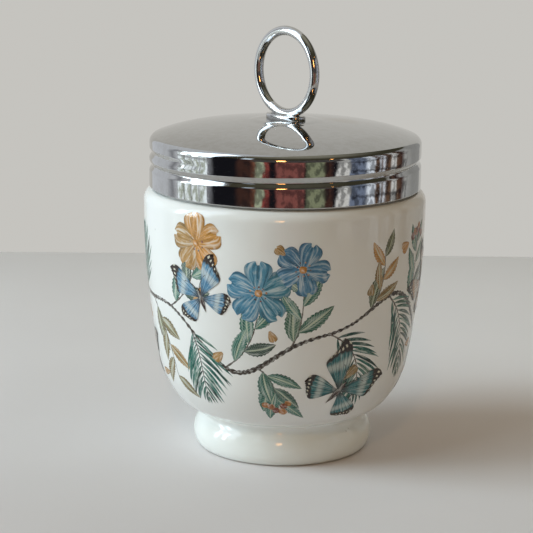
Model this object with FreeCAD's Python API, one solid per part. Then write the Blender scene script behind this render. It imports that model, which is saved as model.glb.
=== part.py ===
"""Porcelain egg coddler: a glazed cup that an egg is cooked in, closed by a pressed screw cap.

The frame stands on the table: +Z is up, the origin is the centre of the foot's underside, and the
lift ring on the cap lies in the XZ plane, so that a finger goes through it along Y. Millimetres.

Pieces: porcelain_cup, sealing_washer, screw_cap, ring_foot, ring_washer and lift_ring.
"""
import FreeCAD
import Part

import math
import os

V = FreeCAD.Vector
UP = V(0, 0, 1)

# ---------------------------------------------------------------- porcelain cup: outside
NECK_RADIUS = 26.5                 # the neck sets the cup's other radii and the cap's
NECK_HEIGHT = 9.8                  # from the shoulder up to the rim
NECK_ROOT_FILLET = 0.8
SHOULDER_WIDTH = 2.75              # from the neck out to the widest line
SHOULDER_ROUNDING = 1.6
BELLY_HEIGHT = 53.6                # of the widest line, just under the shoulder
BELLY_SIDE_CURVE = 178.0           # radius of the long, nearly straight side below the widest line
BELLY_TURN_RISE = 11.0             # from the crease up to where the side turns in
BELLY_TURN_CURVE = 19.5            # radius of that turn
BELLY_TURN_SWEEP = 28.0            # degrees of it; a last arc runs on from there to the crease
CREASE_INSET = 11.55               # from the widest line in to where the foot meets the belly
CREASE_HEIGHT = 8.6
FOOT_BULGE_STAND = 1.1             # the foot is a rolled ring, this much wider than the crease
FOOT_BULGE_HEIGHT = 4.6            # where it is widest
FOOT_LAND_INSET = 0.7              # from the crease in to the flat, unglazed ring that the cup stands on
FOOT_LAND_WIDTH = 1.8

# ---------------------------------------------------------------- porcelain cup: inside and under
BELLY_WALL = 3.0
NECK_WALL = 2.6
RIM_ROUNDING = 0.8
NECK_BORE_DEPTH = 8.0              # the straight bore under the rim, before it widens
BORE_FLARE_DEPTH = 7.0             # over which it widens to the belly
FLOOR_UNDERSIDE_HEIGHT = 3.9       # hollow under the cup, inside the foot ring
FLOOR_THICKNESS = 5.0
FOOT_HOLLOW_FILLET = 1.4
FOOT_EDGE_ROUNDING = 0.5

# ---------------------------------------------------------------- screw cap
THREAD_ROOM = 1.3                  # between the neck and the cap's bore
CAP_SHEET = 0.4                    # thickness of the pressed metal
CAP_RIM_CLEARANCE = 0.3            # from the porcelain shoulder up to the cap's lower edge
CAP_CORNER_RADIUS = 1.5
CROWN_CURVE = 145.0                # radius of the domed middle of the crown
CROWN_MARGIN_CURVE = 36.0          # radius of its margin, which bends down to the corner
CROWN_MARGIN_WIDTH = 6.7
BOSS_RADIUS = 5.4                  # flat in the middle, which carries the ring foot
BOSS_SLOPE_WIDTH = 2.6

# ---------------------------------------------------------------- sealing washer
SEAL_THICKNESS = 0.7               # at its thinnest, with the fit; its top is moulded to the crown
SEAL_INSET = 0.4                   # how far its bore stands in from the cup's bore
SEAL_CLEARANCE = 0.2               # from its outer edge to the cap's corner
SEAL_FIT = 0.03                    # between its top and the crown, which turns over it

# ---------------------------------------------------------------- thread, right-handed
THREAD_PITCH = 2.6
THREAD_START_ANGLE = -193.0        # degrees, where the cap's groove begins
THREAD_START_RISE = 4.2            # from the cup's shoulder up to the groove's first point
GROOVE_SWEEP = 480.0               # degrees of groove rolled into the cap
GROOVE_ROLL_RADIUS = 1.0           # edge radius of the wheel that rolls it
GROOVE_DEPTH = 0.65
GROOVE_FADE = 50.0                 # degrees over which the wheel is lifted out
BEAD_LEAD_IN = 60.0                # degrees by which the porcelain bead starts before the groove
BEAD_SWEEP = 400.0
BEAD_RADIUS = 0.6
BEAD_STAND = 0.9                   # how far the bead stands out of the neck
BEAD_FADE = 40.0
FADE_MARGIN = 0.1                  # a parked tool is this far clear of the surface it leaves
SPINE_STEP = 16.0                  # degrees between the points of a thread's path

# ---------------------------------------------------------------- lift ring and its fixing
RING_WIRE_RADIUS = 1.0
RING_MEAN_RADIUS = 8.45
FOOT_PLATE_LENGTH = 10.0
FOOT_PLATE_WIDTH = 3.8
FOOT_PLATE_THICKNESS = 1.0
FOOT_PLATE_ROUNDING = 0.3
SADDLE_DEPTH = 0.75                # how deep the wire lies in the plate
SOLDER_GAP = 0.03
SPIGOT_RADIUS = 1.5
SPIGOT_CLEARANCE = 0.1
BACKING_RADIUS = 4.6
BACKING_THICKNESS = 0.6
PEEN_RADIUS = 2.4
PEEN_HEIGHT = 0.7
PEEN_ROUNDING = 0.5

# ---------------------------------------------------------------- what follows from them
BELLY_RADIUS = NECK_RADIUS + SHOULDER_WIDTH
CREASE_RADIUS = BELLY_RADIUS - CREASE_INSET
FOOT_BULGE_RADIUS = CREASE_RADIUS + FOOT_BULGE_STAND
FOOT_LAND_OUTER_RADIUS = CREASE_RADIUS - FOOT_LAND_INSET
FOOT_LAND_INNER_RADIUS = FOOT_LAND_OUTER_RADIUS - FOOT_LAND_WIDTH
SHOULDER_HEIGHT = BELLY_HEIGHT + SHOULDER_ROUNDING
CUP_HEIGHT = SHOULDER_HEIGHT + NECK_HEIGHT
CAP_RIM_HEIGHT = SHOULDER_HEIGHT + CAP_RIM_CLEARANCE
CROWN_UNDERSIDE = CUP_HEIGHT + SEAL_THICKNESS
CROWN_HEIGHT = CROWN_UNDERSIDE + CAP_SHEET
CAP_BORE_RADIUS = NECK_RADIUS + THREAD_ROOM
CAP_RADIUS = CAP_BORE_RADIUS + CAP_SHEET
CROWN_EDGE_RADIUS = CAP_RADIUS - CAP_CORNER_RADIUS
MARGIN_START_RADIUS = CROWN_EDGE_RADIUS - CROWN_MARGIN_WIDTH
MARGIN_START_LEAN = math.asin(MARGIN_START_RADIUS / CROWN_CURVE)
MARGIN_CENTRE_RADIUS = MARGIN_START_RADIUS - CROWN_MARGIN_CURVE * math.sin(MARGIN_START_LEAN)
MARGIN_TO_CORNER = CROWN_MARGIN_CURVE - CAP_CORNER_RADIUS
MARGIN_END_LEAN = math.asin((CROWN_EDGE_RADIUS - MARGIN_CENTRE_RADIUS) / MARGIN_TO_CORNER)
CORNER_CENTRE_HEIGHT = CROWN_HEIGHT - CAP_CORNER_RADIUS
MARGIN_CENTRE_HEIGHT = CORNER_CENTRE_HEIGHT - MARGIN_TO_CORNER * math.cos(MARGIN_END_LEAN)
MARGIN_TO_DOME = (CROWN_CURVE - CROWN_MARGIN_CURVE) * math.cos(MARGIN_START_LEAN)
DOME_CENTRE_HEIGHT = MARGIN_CENTRE_HEIGHT - MARGIN_TO_DOME
BOSS_TOP = DOME_CENTRE_HEIGHT + CROWN_CURVE
PLATE_TOP = BOSS_TOP + FOOT_PLATE_THICKNESS
RING_CENTRE_HEIGHT = PLATE_TOP - SADDLE_DEPTH + RING_WIRE_RADIUS + RING_MEAN_RADIUS
NECK_BORE_RADIUS = NECK_RADIUS - NECK_WALL
GROOVE_START_HEIGHT = SHOULDER_HEIGHT + THREAD_START_RISE


def point(radius, height):
    """A point of a turned profile, in the XZ plane."""
    return V(radius, 0, height)


def line(start, end):
    """A straight edge of a profile, from one (radius, height) to another."""
    return Part.LineSegment(point(*start), point(*end)).toShape()


def corner(centre, radius_r, radius_z, first, last):
    """Part of an ellipse round centre, between two angles in degrees: 0 is outward, 90 is up."""
    def on_curve(degrees):
        angle = math.radians(degrees)
        return point(centre[0] + radius_r * math.cos(angle), centre[1] + radius_z * math.sin(angle))
    if abs(radius_r - radius_z) < 1e-9:
        return Part.Arc(on_curve(first), on_curve((first + last) / 2), on_curve(last)).toShape()
    if radius_r > radius_z:
        ellipse = Part.Ellipse(on_curve(0), on_curve(90), point(*centre))
    else:
        ellipse = Part.Ellipse(on_curve(90), on_curve(180), point(*centre))
    ends = sorted((ellipse.parameter(on_curve(first)), ellipse.parameter(on_curve(last))))
    if ends[1] - ends[0] > math.pi:
        ends = (ends[1] - 2 * math.pi, ends[0])
    return Part.ArcOfEllipse(ellipse, ends[0], ends[1]).toShape()


def fillet(centre, radius, first, last):
    """A round corner of a profile."""
    return corner(centre, radius, radius, first, last)


def turned(edges):
    """The solid that a closed profile makes when it is turned about the Z axis."""
    wire = Part.Wire(Part.__sortEdges__(edges))
    return Part.Face(wire).revolve(V(0, 0, 0), UP, 360)


def thread_spine(first_turn, sweep, lift, seat_radius, parked_radius, fade):
    """The helix that a thread's round section follows. It runs in from parked_radius to seat_radius
    over the first fade degrees and back out over the last, so that the thread has soft ends."""
    steps = math.ceil(sweep / SPINE_STEP)
    points = []
    for step in range(steps + 1):
        turned_by = sweep * step / steps
        from_end = min(turned_by, sweep - turned_by)
        engaged = 0.5 - 0.5 * math.cos(math.pi * min(1.0, from_end / fade))
        radius = parked_radius + (seat_radius - parked_radius) * engaged
        angle = math.radians(THREAD_START_ANGLE + first_turn + turned_by)
        height = GROOVE_START_HEIGHT + lift + THREAD_PITCH * (first_turn + turned_by) / 360
        points.append(V(radius * math.cos(angle), radius * math.sin(angle), height))
    curve = Part.BSplineCurve()
    curve.interpolate(points)
    return curve


def swept_round(spine, radius):
    """A solid of round section along a spine."""
    start = spine.value(spine.FirstParameter)
    heading = spine.tangent(spine.FirstParameter)[0]
    section = Part.Wire([Part.Circle(start, heading, radius).toShape()])
    pipe = Part.BRepOffsetAPI.MakePipeShell(Part.Wire([spine.toShape()]))
    pipe.setFrenetMode(False)
    pipe.add(section)
    pipe.build()
    pipe.makeSolid()
    return pipe.shape()


def belly_arcs():
    """The outside of the belly, from the widest line down to the crease, as tangent arcs: each is a
    centre, a radius and its first and last angle. The last arc is the one that meets the crease."""
    centre = (BELLY_RADIUS - BELLY_SIDE_CURVE, BELLY_HEIGHT)
    side_drop = BELLY_HEIGHT - CREASE_HEIGHT - BELLY_TURN_RISE
    side_sweep = math.degrees(math.asin(side_drop / BELLY_SIDE_CURVE))
    side = (centre, BELLY_SIDE_CURVE, 0, -side_sweep)
    turn = following_arc(side, BELLY_TURN_CURVE, BELLY_TURN_SWEEP)
    start = arc_end(turn)
    across = (start[0] - CREASE_RADIUS, start[1] - CREASE_HEIGHT)
    outward = direction(turn[3])
    radius = (across[0] ** 2 + across[1] ** 2) / (2 * (across[0] * outward[0] + across[1] * outward[1]))
    centre = (start[0] - radius * outward[0], start[1] - radius * outward[1])
    crease_angle = math.degrees(math.atan2(CREASE_HEIGHT - centre[1], CREASE_RADIUS - centre[0]))
    return side, turn, (centre, radius, turn[3], crease_angle)


def direction(degrees):
    """Unit (radius, height) at an angle: 0 is outward, 90 is up."""
    return math.cos(math.radians(degrees)), math.sin(math.radians(degrees))


def arc_end(arc):
    """The (radius, height) where an arc ends."""
    centre, radius, _, last = arc
    return centre[0] + radius * direction(last)[0], centre[1] + radius * direction(last)[1]


def following_arc(arc, radius, sweep):
    """An arc of another radius that runs smoothly on from the end of arc, bending down by sweep."""
    last = arc[3]
    end = arc_end(arc)
    centre = (end[0] - radius * direction(last)[0], end[1] - radius * direction(last)[1])
    return centre, radius, last, last - sweep


def inside_edges(side):
    """The inside of the cup below the neck's bore: a flare, the wall, one wall inside the side of the
    belly, and a round bowl that runs from the wall into a flat floor."""
    centre, side_radius, _, side_end = side
    wall_radius = side_radius - BELLY_WALL
    flare_top = CUP_HEIGHT - NECK_BORE_DEPTH
    flare_foot = flare_top - BORE_FLARE_DEPTH
    foot_angle = math.degrees(math.asin((flare_foot - centre[1]) / wall_radius))
    wall_top = arc_end((centre, wall_radius, 0, foot_angle))
    slope = direction(foot_angle + 90)
    reach = BORE_FLARE_DEPTH / 2
    flare = Part.BezierCurve()
    flare.setPoles([
        point(NECK_BORE_RADIUS, flare_top),
        point(NECK_BORE_RADIUS, flare_top - reach),
        point(wall_top[0] + reach * slope[0], wall_top[1] + reach * slope[1]),
        point(*wall_top),
    ])
    floor = FLOOR_UNDERSIDE_HEIGHT + FLOOR_THICKNESS
    bowl_start = arc_end((centre, wall_radius, 0, side_end))
    outward = direction(side_end)
    bowl_radius = (bowl_start[1] - floor) / (1 + outward[1])
    bowl_centre = (bowl_start[0] - bowl_radius * outward[0], floor + bowl_radius)
    return [
        flare.toShape(),
        fillet(centre, wall_radius, foot_angle, side_end),
        fillet(bowl_centre, bowl_radius, side_end, -90),
        line((bowl_centre[0], floor), (0, floor)),
        line((0, floor), (0, FLOOR_UNDERSIDE_HEIGHT)),
    ]


def porcelain_cup():
    """The cup: a rolled foot, a round belly, a shoulder under the cap and a neck with a raised bead."""
    rim_low = CUP_HEIGHT - RIM_ROUNDING
    hollow_top = FLOOR_UNDERSIDE_HEIGHT
    hollow_radius = FOOT_LAND_INNER_RADIUS - FOOT_HOLLOW_FILLET - FOOT_EDGE_ROUNDING
    hollow_wall = FOOT_LAND_INNER_RADIUS - FOOT_EDGE_ROUNDING
    neck_foot = NECK_RADIUS + NECK_ROOT_FILLET
    belly = belly_arcs()
    profile = [
        # under the cup: the hollow inside the foot ring
        line((0, hollow_top), (hollow_radius, hollow_top)),
        fillet((hollow_radius, hollow_top - FOOT_HOLLOW_FILLET), FOOT_HOLLOW_FILLET, 0, 90),
        line((hollow_wall, hollow_top - FOOT_HOLLOW_FILLET), (hollow_wall, FOOT_EDGE_ROUNDING)),
        fillet((FOOT_LAND_INNER_RADIUS, FOOT_EDGE_ROUNDING), FOOT_EDGE_ROUNDING, 180, 270),
        line((FOOT_LAND_INNER_RADIUS, 0), (FOOT_LAND_OUTER_RADIUS, 0)),
        # the rolled foot
        corner((FOOT_LAND_OUTER_RADIUS, FOOT_BULGE_HEIGHT),
               FOOT_BULGE_RADIUS - FOOT_LAND_OUTER_RADIUS, FOOT_BULGE_HEIGHT, -90, 0),
        corner((CREASE_RADIUS, FOOT_BULGE_HEIGHT),
               FOOT_BULGE_RADIUS - CREASE_RADIUS, CREASE_HEIGHT - FOOT_BULGE_HEIGHT, 0, 90),
        # belly, shoulder and neck
        *(fillet(*arc) for arc in belly),
        fillet((BELLY_RADIUS - SHOULDER_ROUNDING, BELLY_HEIGHT), SHOULDER_ROUNDING, 0, 90),
        line((BELLY_RADIUS - SHOULDER_ROUNDING, SHOULDER_HEIGHT), (neck_foot, SHOULDER_HEIGHT)),
        fillet((neck_foot, SHOULDER_HEIGHT + NECK_ROOT_FILLET), NECK_ROOT_FILLET, 180, 270),
        line((NECK_RADIUS, SHOULDER_HEIGHT + NECK_ROOT_FILLET), (NECK_RADIUS, rim_low)),
        # rim and inside
        fillet((NECK_RADIUS - RIM_ROUNDING, rim_low), RIM_ROUNDING, 0, 90),
        line((NECK_RADIUS - RIM_ROUNDING, CUP_HEIGHT), (NECK_BORE_RADIUS + RIM_ROUNDING, CUP_HEIGHT)),
        fillet((NECK_BORE_RADIUS + RIM_ROUNDING, rim_low), RIM_ROUNDING, 90, 180),
        line((NECK_BORE_RADIUS, rim_low), (NECK_BORE_RADIUS, CUP_HEIGHT - NECK_BORE_DEPTH)),
        *inside_edges(belly[0]),
    ]
    bead_seat = NECK_RADIUS + BEAD_STAND - BEAD_RADIUS
    bead_parked = NECK_RADIUS - FADE_MARGIN - BEAD_RADIUS
    spine = thread_spine(-BEAD_LEAD_IN, BEAD_SWEEP, THREAD_PITCH / 2, bead_seat, bead_parked, BEAD_FADE)
    return turned(profile).fuse(swept_round(spine, BEAD_RADIUS))


def cap_blank(inset):
    """The cap before its thread is rolled: its outside when inset is 0, and its inside when inset is the
    sheet's thickness. From the wall: a corner, the margin of the crown, its domed middle and the boss."""
    wall = CAP_RADIUS - inset
    top = BOSS_TOP - inset
    dome_radius = CROWN_CURVE - inset
    slope_foot = BOSS_RADIUS + BOSS_SLOPE_WIDTH
    foot_lean = math.asin(slope_foot / dome_radius)
    foot_height = DOME_CENTRE_HEIGHT + dome_radius * math.cos(foot_lean)
    start_angle = 90 - math.degrees(MARGIN_START_LEAN)
    end_angle = 90 - math.degrees(MARGIN_END_LEAN)
    foot_angle = 90 - math.degrees(foot_lean)
    margin_centre = (MARGIN_CENTRE_RADIUS, MARGIN_CENTRE_HEIGHT)
    return turned([
        line((0, CAP_RIM_HEIGHT), (wall, CAP_RIM_HEIGHT)),
        line((wall, CAP_RIM_HEIGHT), (wall, CORNER_CENTRE_HEIGHT)),
        fillet((CROWN_EDGE_RADIUS, CORNER_CENTRE_HEIGHT), CAP_CORNER_RADIUS - inset, 0, end_angle),
        fillet(margin_centre, CROWN_MARGIN_CURVE - inset, end_angle, start_angle),
        fillet((0, DOME_CENTRE_HEIGHT), dome_radius, start_angle, foot_angle),
        line((slope_foot, foot_height), (BOSS_RADIUS, top)),
        line((BOSS_RADIUS, top), (0, top)),
        line((0, top), (0, CAP_RIM_HEIGHT)),
    ])


def cap_form(inset):
    """The cap's blank with the thread rolled in. The groove is taken out of the outside and the inside
    with the same spine, so the sheet keeps its thickness round it."""
    seat = CAP_RADIUS + GROOVE_ROLL_RADIUS - GROOVE_DEPTH
    parked = CAP_RADIUS + GROOVE_ROLL_RADIUS + FADE_MARGIN
    spine = thread_spine(0, GROOVE_SWEEP, 0, seat, parked, GROOVE_FADE)
    return cap_blank(inset).cut(swept_round(spine, GROOVE_ROLL_RADIUS + inset))


def screw_cap():
    """The pressed cap: one thin sheet with a rolled thread round its side and a hole for the spigot."""
    hole = Part.makeCylinder(SPIGOT_RADIUS + SPIGOT_CLEARANCE, CUP_HEIGHT, V(0, 0, CAP_RIM_HEIGHT))
    sheet = cap_form(0).cut(cap_form(CAP_SHEET)).cut(hole)
    middle = (CAP_RADIUS + CAP_BORE_RADIUS) / 2
    edge = Part.makeTorus(middle, CAP_SHEET / 2, V(0, 0, CAP_RIM_HEIGHT + CAP_SHEET / 2))
    lowest = Part.makeCylinder(CAP_RADIUS, CAP_SHEET / 2, V(0, 0, CAP_RIM_HEIGHT))
    return sheet.cut(lowest).fuse(edge).removeSplitter()


def sealing_washer():
    """The soft ring between the cup's rim and the cap's crown, whose underside its top follows at a fit
    that lets the cap turn."""
    bottom = V(0, 0, CUP_HEIGHT)
    ring = Part.makeCylinder(CROWN_EDGE_RADIUS - SEAL_CLEARANCE, CUP_HEIGHT, bottom)
    bore = Part.makeCylinder(NECK_BORE_RADIUS - SEAL_INSET, CUP_HEIGHT, bottom)
    return ring.cut(bore).common(cap_blank(CAP_SHEET + SEAL_FIT))


def ring_solid(wire_radius):
    """A ring of round wire standing on edge, in the XZ plane."""
    return Part.makeTorus(RING_MEAN_RADIUS, wire_radius, V(0, 0, RING_CENTRE_HEIGHT), V(0, 1, 0))


def oblong(length, width, height):
    """The outline of a plate with half-round ends, at a height."""
    span = (length - width) / 2
    half = width / 2
    corners = [V(-span, -half, height), V(span, -half, height), V(span, half, height), V(-span, half, height)]
    return Part.Wire([
        Part.LineSegment(corners[0], corners[1]).toShape(),
        Part.Arc(corners[1], V(span + half, 0, height), corners[2]).toShape(),
        Part.LineSegment(corners[2], corners[3]).toShape(),
        Part.Arc(corners[3], V(-span - half, 0, height), corners[0]).toShape(),
    ])


def ring_foot():
    """The oblong plate that the ring is soldered to, with the spigot that is peened under the crown."""
    outline = oblong(FOOT_PLATE_LENGTH, FOOT_PLATE_WIDTH, BOSS_TOP)
    plate = Part.Face(outline).extrude(V(0, 0, FOOT_PLATE_THICKNESS))
    top_edges = [edge for edge in plate.Edges if edge.BoundBox.ZMin > PLATE_TOP - 1e-6]
    plate = plate.makeFillet(FOOT_PLATE_ROUNDING, top_edges)
    plate = plate.cut(ring_solid(RING_WIRE_RADIUS + SOLDER_GAP))
    shank_foot = BOSS_TOP - CAP_SHEET - BACKING_THICKNESS
    shank = Part.makeCylinder(SPIGOT_RADIUS, BOSS_TOP - shank_foot, V(0, 0, shank_foot))
    peen = Part.makeCylinder(PEEN_RADIUS, PEEN_HEIGHT, V(0, 0, shank_foot - PEEN_HEIGHT))
    low_edges = [edge for edge in peen.Edges if edge.BoundBox.ZMax < shank_foot - PEEN_HEIGHT + 1e-6]
    return plate.fuse([shank, peen.makeFillet(PEEN_ROUNDING, low_edges)])


def ring_washer():
    """The plain backing washer under the crown, which spreads the pull of the ring."""
    bottom = V(0, 0, BOSS_TOP - CAP_SHEET - BACKING_THICKNESS)
    disc = Part.makeCylinder(BACKING_RADIUS, BACKING_THICKNESS, bottom)
    return disc.cut(Part.makeCylinder(SPIGOT_RADIUS + SPIGOT_CLEARANCE, BACKING_THICKNESS, bottom))


def lift_ring():
    """The wire ring that the cap is lifted by."""
    return ring_solid(RING_WIRE_RADIUS)


PIECES = (porcelain_cup, sealing_washer, screw_cap, ring_foot, ring_washer, lift_ring)

os.makedirs("parts", exist_ok=True)
for make_piece in PIECES:
    shape = make_piece()
    solid = shape.Solids[0] if len(shape.Solids) == 1 else shape
    name = make_piece.__name__
    solid.exportStep(os.path.join("parts", name + ".step"))
    print(f"{name}: {len(shape.Solids)} solid, valid {shape.isValid()}, {solid.Volume:.1f} mm3")
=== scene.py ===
# %% [markdown]
# # A porcelain egg coddler
# An egg coddler is a small china cup with a screw cap: an egg is broken into it, the cap goes on, and the
# cup stands in hot water. The construction was modelled elsewhere and arrives here as a fixed frame, so
# this lesson only dresses it. Every surface is worked out with numpy from a few sizes and then finished
# with a shader, and each new piece rides on the body that carries it, so that the cap still unscrews.

# %% Load the frame
import math

import bpy
import numpy as np
from mathutils import Matrix, Vector


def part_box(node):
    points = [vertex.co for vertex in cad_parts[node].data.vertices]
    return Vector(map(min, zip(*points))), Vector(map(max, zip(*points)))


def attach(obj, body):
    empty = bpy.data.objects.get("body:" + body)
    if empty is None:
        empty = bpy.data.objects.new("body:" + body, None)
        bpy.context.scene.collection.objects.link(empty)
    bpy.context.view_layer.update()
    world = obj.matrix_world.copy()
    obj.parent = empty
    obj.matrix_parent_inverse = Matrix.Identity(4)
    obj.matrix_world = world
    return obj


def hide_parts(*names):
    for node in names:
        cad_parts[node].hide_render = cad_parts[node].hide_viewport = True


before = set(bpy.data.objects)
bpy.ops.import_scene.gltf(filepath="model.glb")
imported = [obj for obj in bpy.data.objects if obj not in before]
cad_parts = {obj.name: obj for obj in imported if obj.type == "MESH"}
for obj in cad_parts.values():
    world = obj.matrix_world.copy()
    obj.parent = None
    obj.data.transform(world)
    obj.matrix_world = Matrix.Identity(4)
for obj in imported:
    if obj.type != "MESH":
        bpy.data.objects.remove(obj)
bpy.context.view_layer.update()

MM = 0.001

# %% [markdown]
# ## Sizes
# Whatever the frame can say is read from it, so the dressing follows the construction. Only the widths
# that a bounding box can't show, such as a wall or a step, are written down again, in millimetres.

# %% Read the sizes of the cup, the cap and the ring
def corners_mm(node):
    """Lowest and highest corner of a node, in millimetres."""
    low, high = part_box(node)
    return np.array(low) / MM, np.array(high) / MM


CUP_HIGH = corners_mm("porcelain_cup")[1]
CAP_LOW, CAP_HIGH = corners_mm("screw_cap")
RING_LOW, RING_HIGH = corners_mm("lift_ring")
PLATE_LOW, PLATE_HIGH = corners_mm("ring_foot")
SEAL_LOW, SEAL_HIGH = corners_mm("sealing_washer")
BACKING_LOW, BACKING_HIGH = corners_mm("ring_washer")

BELLY_RADIUS, CUP_HEIGHT = CUP_HIGH[0], CUP_HIGH[2]
CAP_RADIUS, CAP_RIM_HEIGHT, BOSS_TOP = CAP_HIGH[0], CAP_LOW[2], CAP_HIGH[2]
print(f"cup {2 * BELLY_RADIUS:.2f} x {CUP_HEIGHT:.2f} mm, cap {2 * CAP_RADIUS:.2f} mm, "
      f"ring top at {RING_HIGH[2]:.2f} mm")

# %% Widths of the cup that its box doesn't show
SHOULDER_WIDTH, SHOULDER_ROUNDING = 2.75, 2.5
NECK_HEIGHT, NECK_WALL, NECK_ROOT_FILLET = 9.8, 2.6, 0.8
NECK_BORE_DEPTH, BORE_FLARE_DEPTH, RIM_ROUNDING = 8.0, 7.0, 0.8
BELLY_WALL, FLOOR_HEIGHT = 3.0, 8.9
BELLY_SIDE_CURVE = 178.0            # radii of the belly's side and of the turn below it
BELLY_TURN_CURVE = 19.5
BELLY_TURN_RISE = 11.0              # how far over the crease that turn begins
BELLY_TURN_SWEEP = 28.0             # degrees
CREASE_INSET, CREASE_HEIGHT = 11.55, 8.6
CREASE_COVE = 1.5                   # the glaze fills the crease to a soft cove
FOOT_BULGE_STAND, FOOT_BULGE_HEIGHT = 1.1, 3.3
FOOT_TOP_CURVE, FOOT_TOP_ANGLE = 5.0, 36.0
FOOT_LAND_INSET, FOOT_LAND_WIDTH = 0.7, 1.8
FOOT_HOLLOW_HEIGHT, FOOT_HOLLOW_FILLET, FOOT_EDGE_ROUNDING = 3.9, 1.4, 0.5

NECK_RADIUS = BELLY_RADIUS - SHOULDER_WIDTH
BORE_RADIUS = NECK_RADIUS - NECK_WALL
SHOULDER_HEIGHT = CUP_HEIGHT - NECK_HEIGHT
BELLY_HEIGHT = SHOULDER_HEIGHT - SHOULDER_ROUNDING
CREASE_RADIUS = BELLY_RADIUS - CREASE_INSET
FOOT_RADIUS = CREASE_RADIUS + FOOT_BULGE_STAND
LAND_OUTER = CREASE_RADIUS - FOOT_LAND_INSET
LAND_INNER = LAND_OUTER - FOOT_LAND_WIDTH
print(f"radii: neck {NECK_RADIUS:.2f}, bore {BORE_RADIUS:.2f}, crease {CREASE_RADIUS:.2f}, "
      f"foot {FOOT_RADIUS:.2f} mm")

# %% [markdown]
# ## Turned profiles
# Cup, cap and washers are turned shapes, so each begins as a profile: a list of (radius, height) points
# built from straight runs, arcs and short Bezier curves. The last number of each is how many steps it
# has, and there are more of them where the form turns quickly. A lathe-like Screw modifier would turn a
# profile too, but points in arrays can still be moved one by one, which the thread needs.

# %% Pieces of a profile
TOUCHING = 1e-6


def heading(degrees):
    """Unit (radius, height) at an angle: 0 is outward and 90 is up."""
    return np.array([math.cos(math.radians(degrees)), math.sin(math.radians(degrees))])


def arc(centre, radius, first, last, steps):
    """Points on a circle, or on an ellipse if radius is a pair, between two angles in degrees, where 0
    is outward and 90 is up: centre + (radius cos a, radius sin a)."""
    across, up = np.broadcast_to(radius, 2)
    angle = np.radians(np.linspace(first, last, steps + 1))
    return np.column_stack([centre[0] + across * np.cos(angle), centre[1] + up * np.sin(angle)])


def run(start, end, steps):
    """Points at equal steps on a straight line."""
    share = np.linspace(0.0, 1.0, steps + 1)[:, None]
    return np.array(start) * (1 - share) + np.array(end) * share


def bezier(points, share):
    """Points on quadratic Bezier curves, (1-t)^2 start + 2t(1-t) control + t^2 end: points holds start,
    control and end of one curve or of many, and share is t, for all curves or for each of them."""
    start, control, end = (points[..., k, None, :] for k in range(3))
    t = share[..., None]
    return (1 - t) ** 2 * start + 2 * t * (1 - t) * control + t ** 2 * end


def bend(start, control, end, steps):
    """One Bezier curve: it leaves start towards control and reaches end coming from control."""
    return bezier(np.array([start, control, end]), np.linspace(0.0, 1.0, steps + 1))


def joined(*runs):
    """One profile out of several runs, with the points that two runs share kept once."""
    points = np.concatenate(runs)
    step = np.linalg.norm(np.diff(points, axis=0), axis=1)
    return points[np.concatenate([[True], step > TOUCHING])]


print("a quarter of a circle in 8 steps:", len(arc((0, 0), 1, 0, 90, 8)), "points")

# %% [markdown]
# ## The form of the cup
# The cup's belly looks like one soft curve. It is three arcs that run smoothly into each other: a nearly
# straight side, a tighter turn, and an easy bottom whose radius follows from where it has to end, in the
# crease over the foot. Arcs are chosen because the light shows at once where a curvature jumps.

# %% The belly's three arcs
side_centre = np.array([BELLY_RADIUS - BELLY_SIDE_CURVE, BELLY_HEIGHT])
side_drop = BELLY_HEIGHT - CREASE_HEIGHT - BELLY_TURN_RISE
side_angle = -math.degrees(math.asin(side_drop / BELLY_SIDE_CURVE))
turn_angle = side_angle - BELLY_TURN_SWEEP
turn_centre = side_centre + (BELLY_SIDE_CURVE - BELLY_TURN_CURVE) * heading(side_angle)
turn_end = turn_centre + BELLY_TURN_CURVE * heading(turn_angle)
to_crease = turn_end - np.array([CREASE_RADIUS, CREASE_HEIGHT])
bottom_radius = (to_crease @ to_crease) / (2 * (to_crease @ heading(turn_angle)))
bottom_centre = turn_end - bottom_radius * heading(turn_angle)
crease_angle = math.degrees(math.atan2(CREASE_HEIGHT - bottom_centre[1], CREASE_RADIUS - bottom_centre[0]))
bottom_angle = crease_angle + math.degrees(CREASE_COVE / bottom_radius)
belly = joined(
    arc(bottom_centre, bottom_radius, bottom_angle, turn_angle, 8),
    arc(turn_centre, BELLY_TURN_CURVE, turn_angle, side_angle, 16),
    arc(side_centre, BELLY_SIDE_CURVE, side_angle, 0, 44),
    arc((BELLY_RADIUS - SHOULDER_ROUNDING, BELLY_HEIGHT), SHOULDER_ROUNDING, 0, 90, 14))
print(f"belly arcs of {BELLY_SIDE_CURVE}, {BELLY_TURN_CURVE} and {bottom_radius:.2f} mm")

# %% The hollow underside and the foot
hollow = LAND_INNER - FOOT_EDGE_ROUNDING
hollow_low = FOOT_HOLLOW_HEIGHT - FOOT_HOLLOW_FILLET
underside = joined(
    run((0, FOOT_HOLLOW_HEIGHT), (hollow - FOOT_HOLLOW_FILLET, FOOT_HOLLOW_HEIGHT), 10),
    arc((hollow - FOOT_HOLLOW_FILLET, hollow_low), FOOT_HOLLOW_FILLET, 90, 0, 6),
    run((hollow, hollow_low), (hollow, FOOT_EDGE_ROUNDING), 3),
    arc((LAND_INNER, FOOT_EDGE_ROUNDING), FOOT_EDGE_ROUNDING, 180, 270, 4),
    run((LAND_INNER, 0), (LAND_OUTER, 0), 6),
    arc((LAND_OUTER, FOOT_BULGE_HEIGHT), (FOOT_RADIUS - LAND_OUTER, FOOT_BULGE_HEIGHT), -90, 0, 20))
foot_top = arc((FOOT_RADIUS - FOOT_TOP_CURVE, FOOT_BULGE_HEIGHT), FOOT_TOP_CURVE, 0, FOOT_TOP_ANGLE, 16)
print("underside and foot:", len(underside) + len(foot_top), "points")

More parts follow.
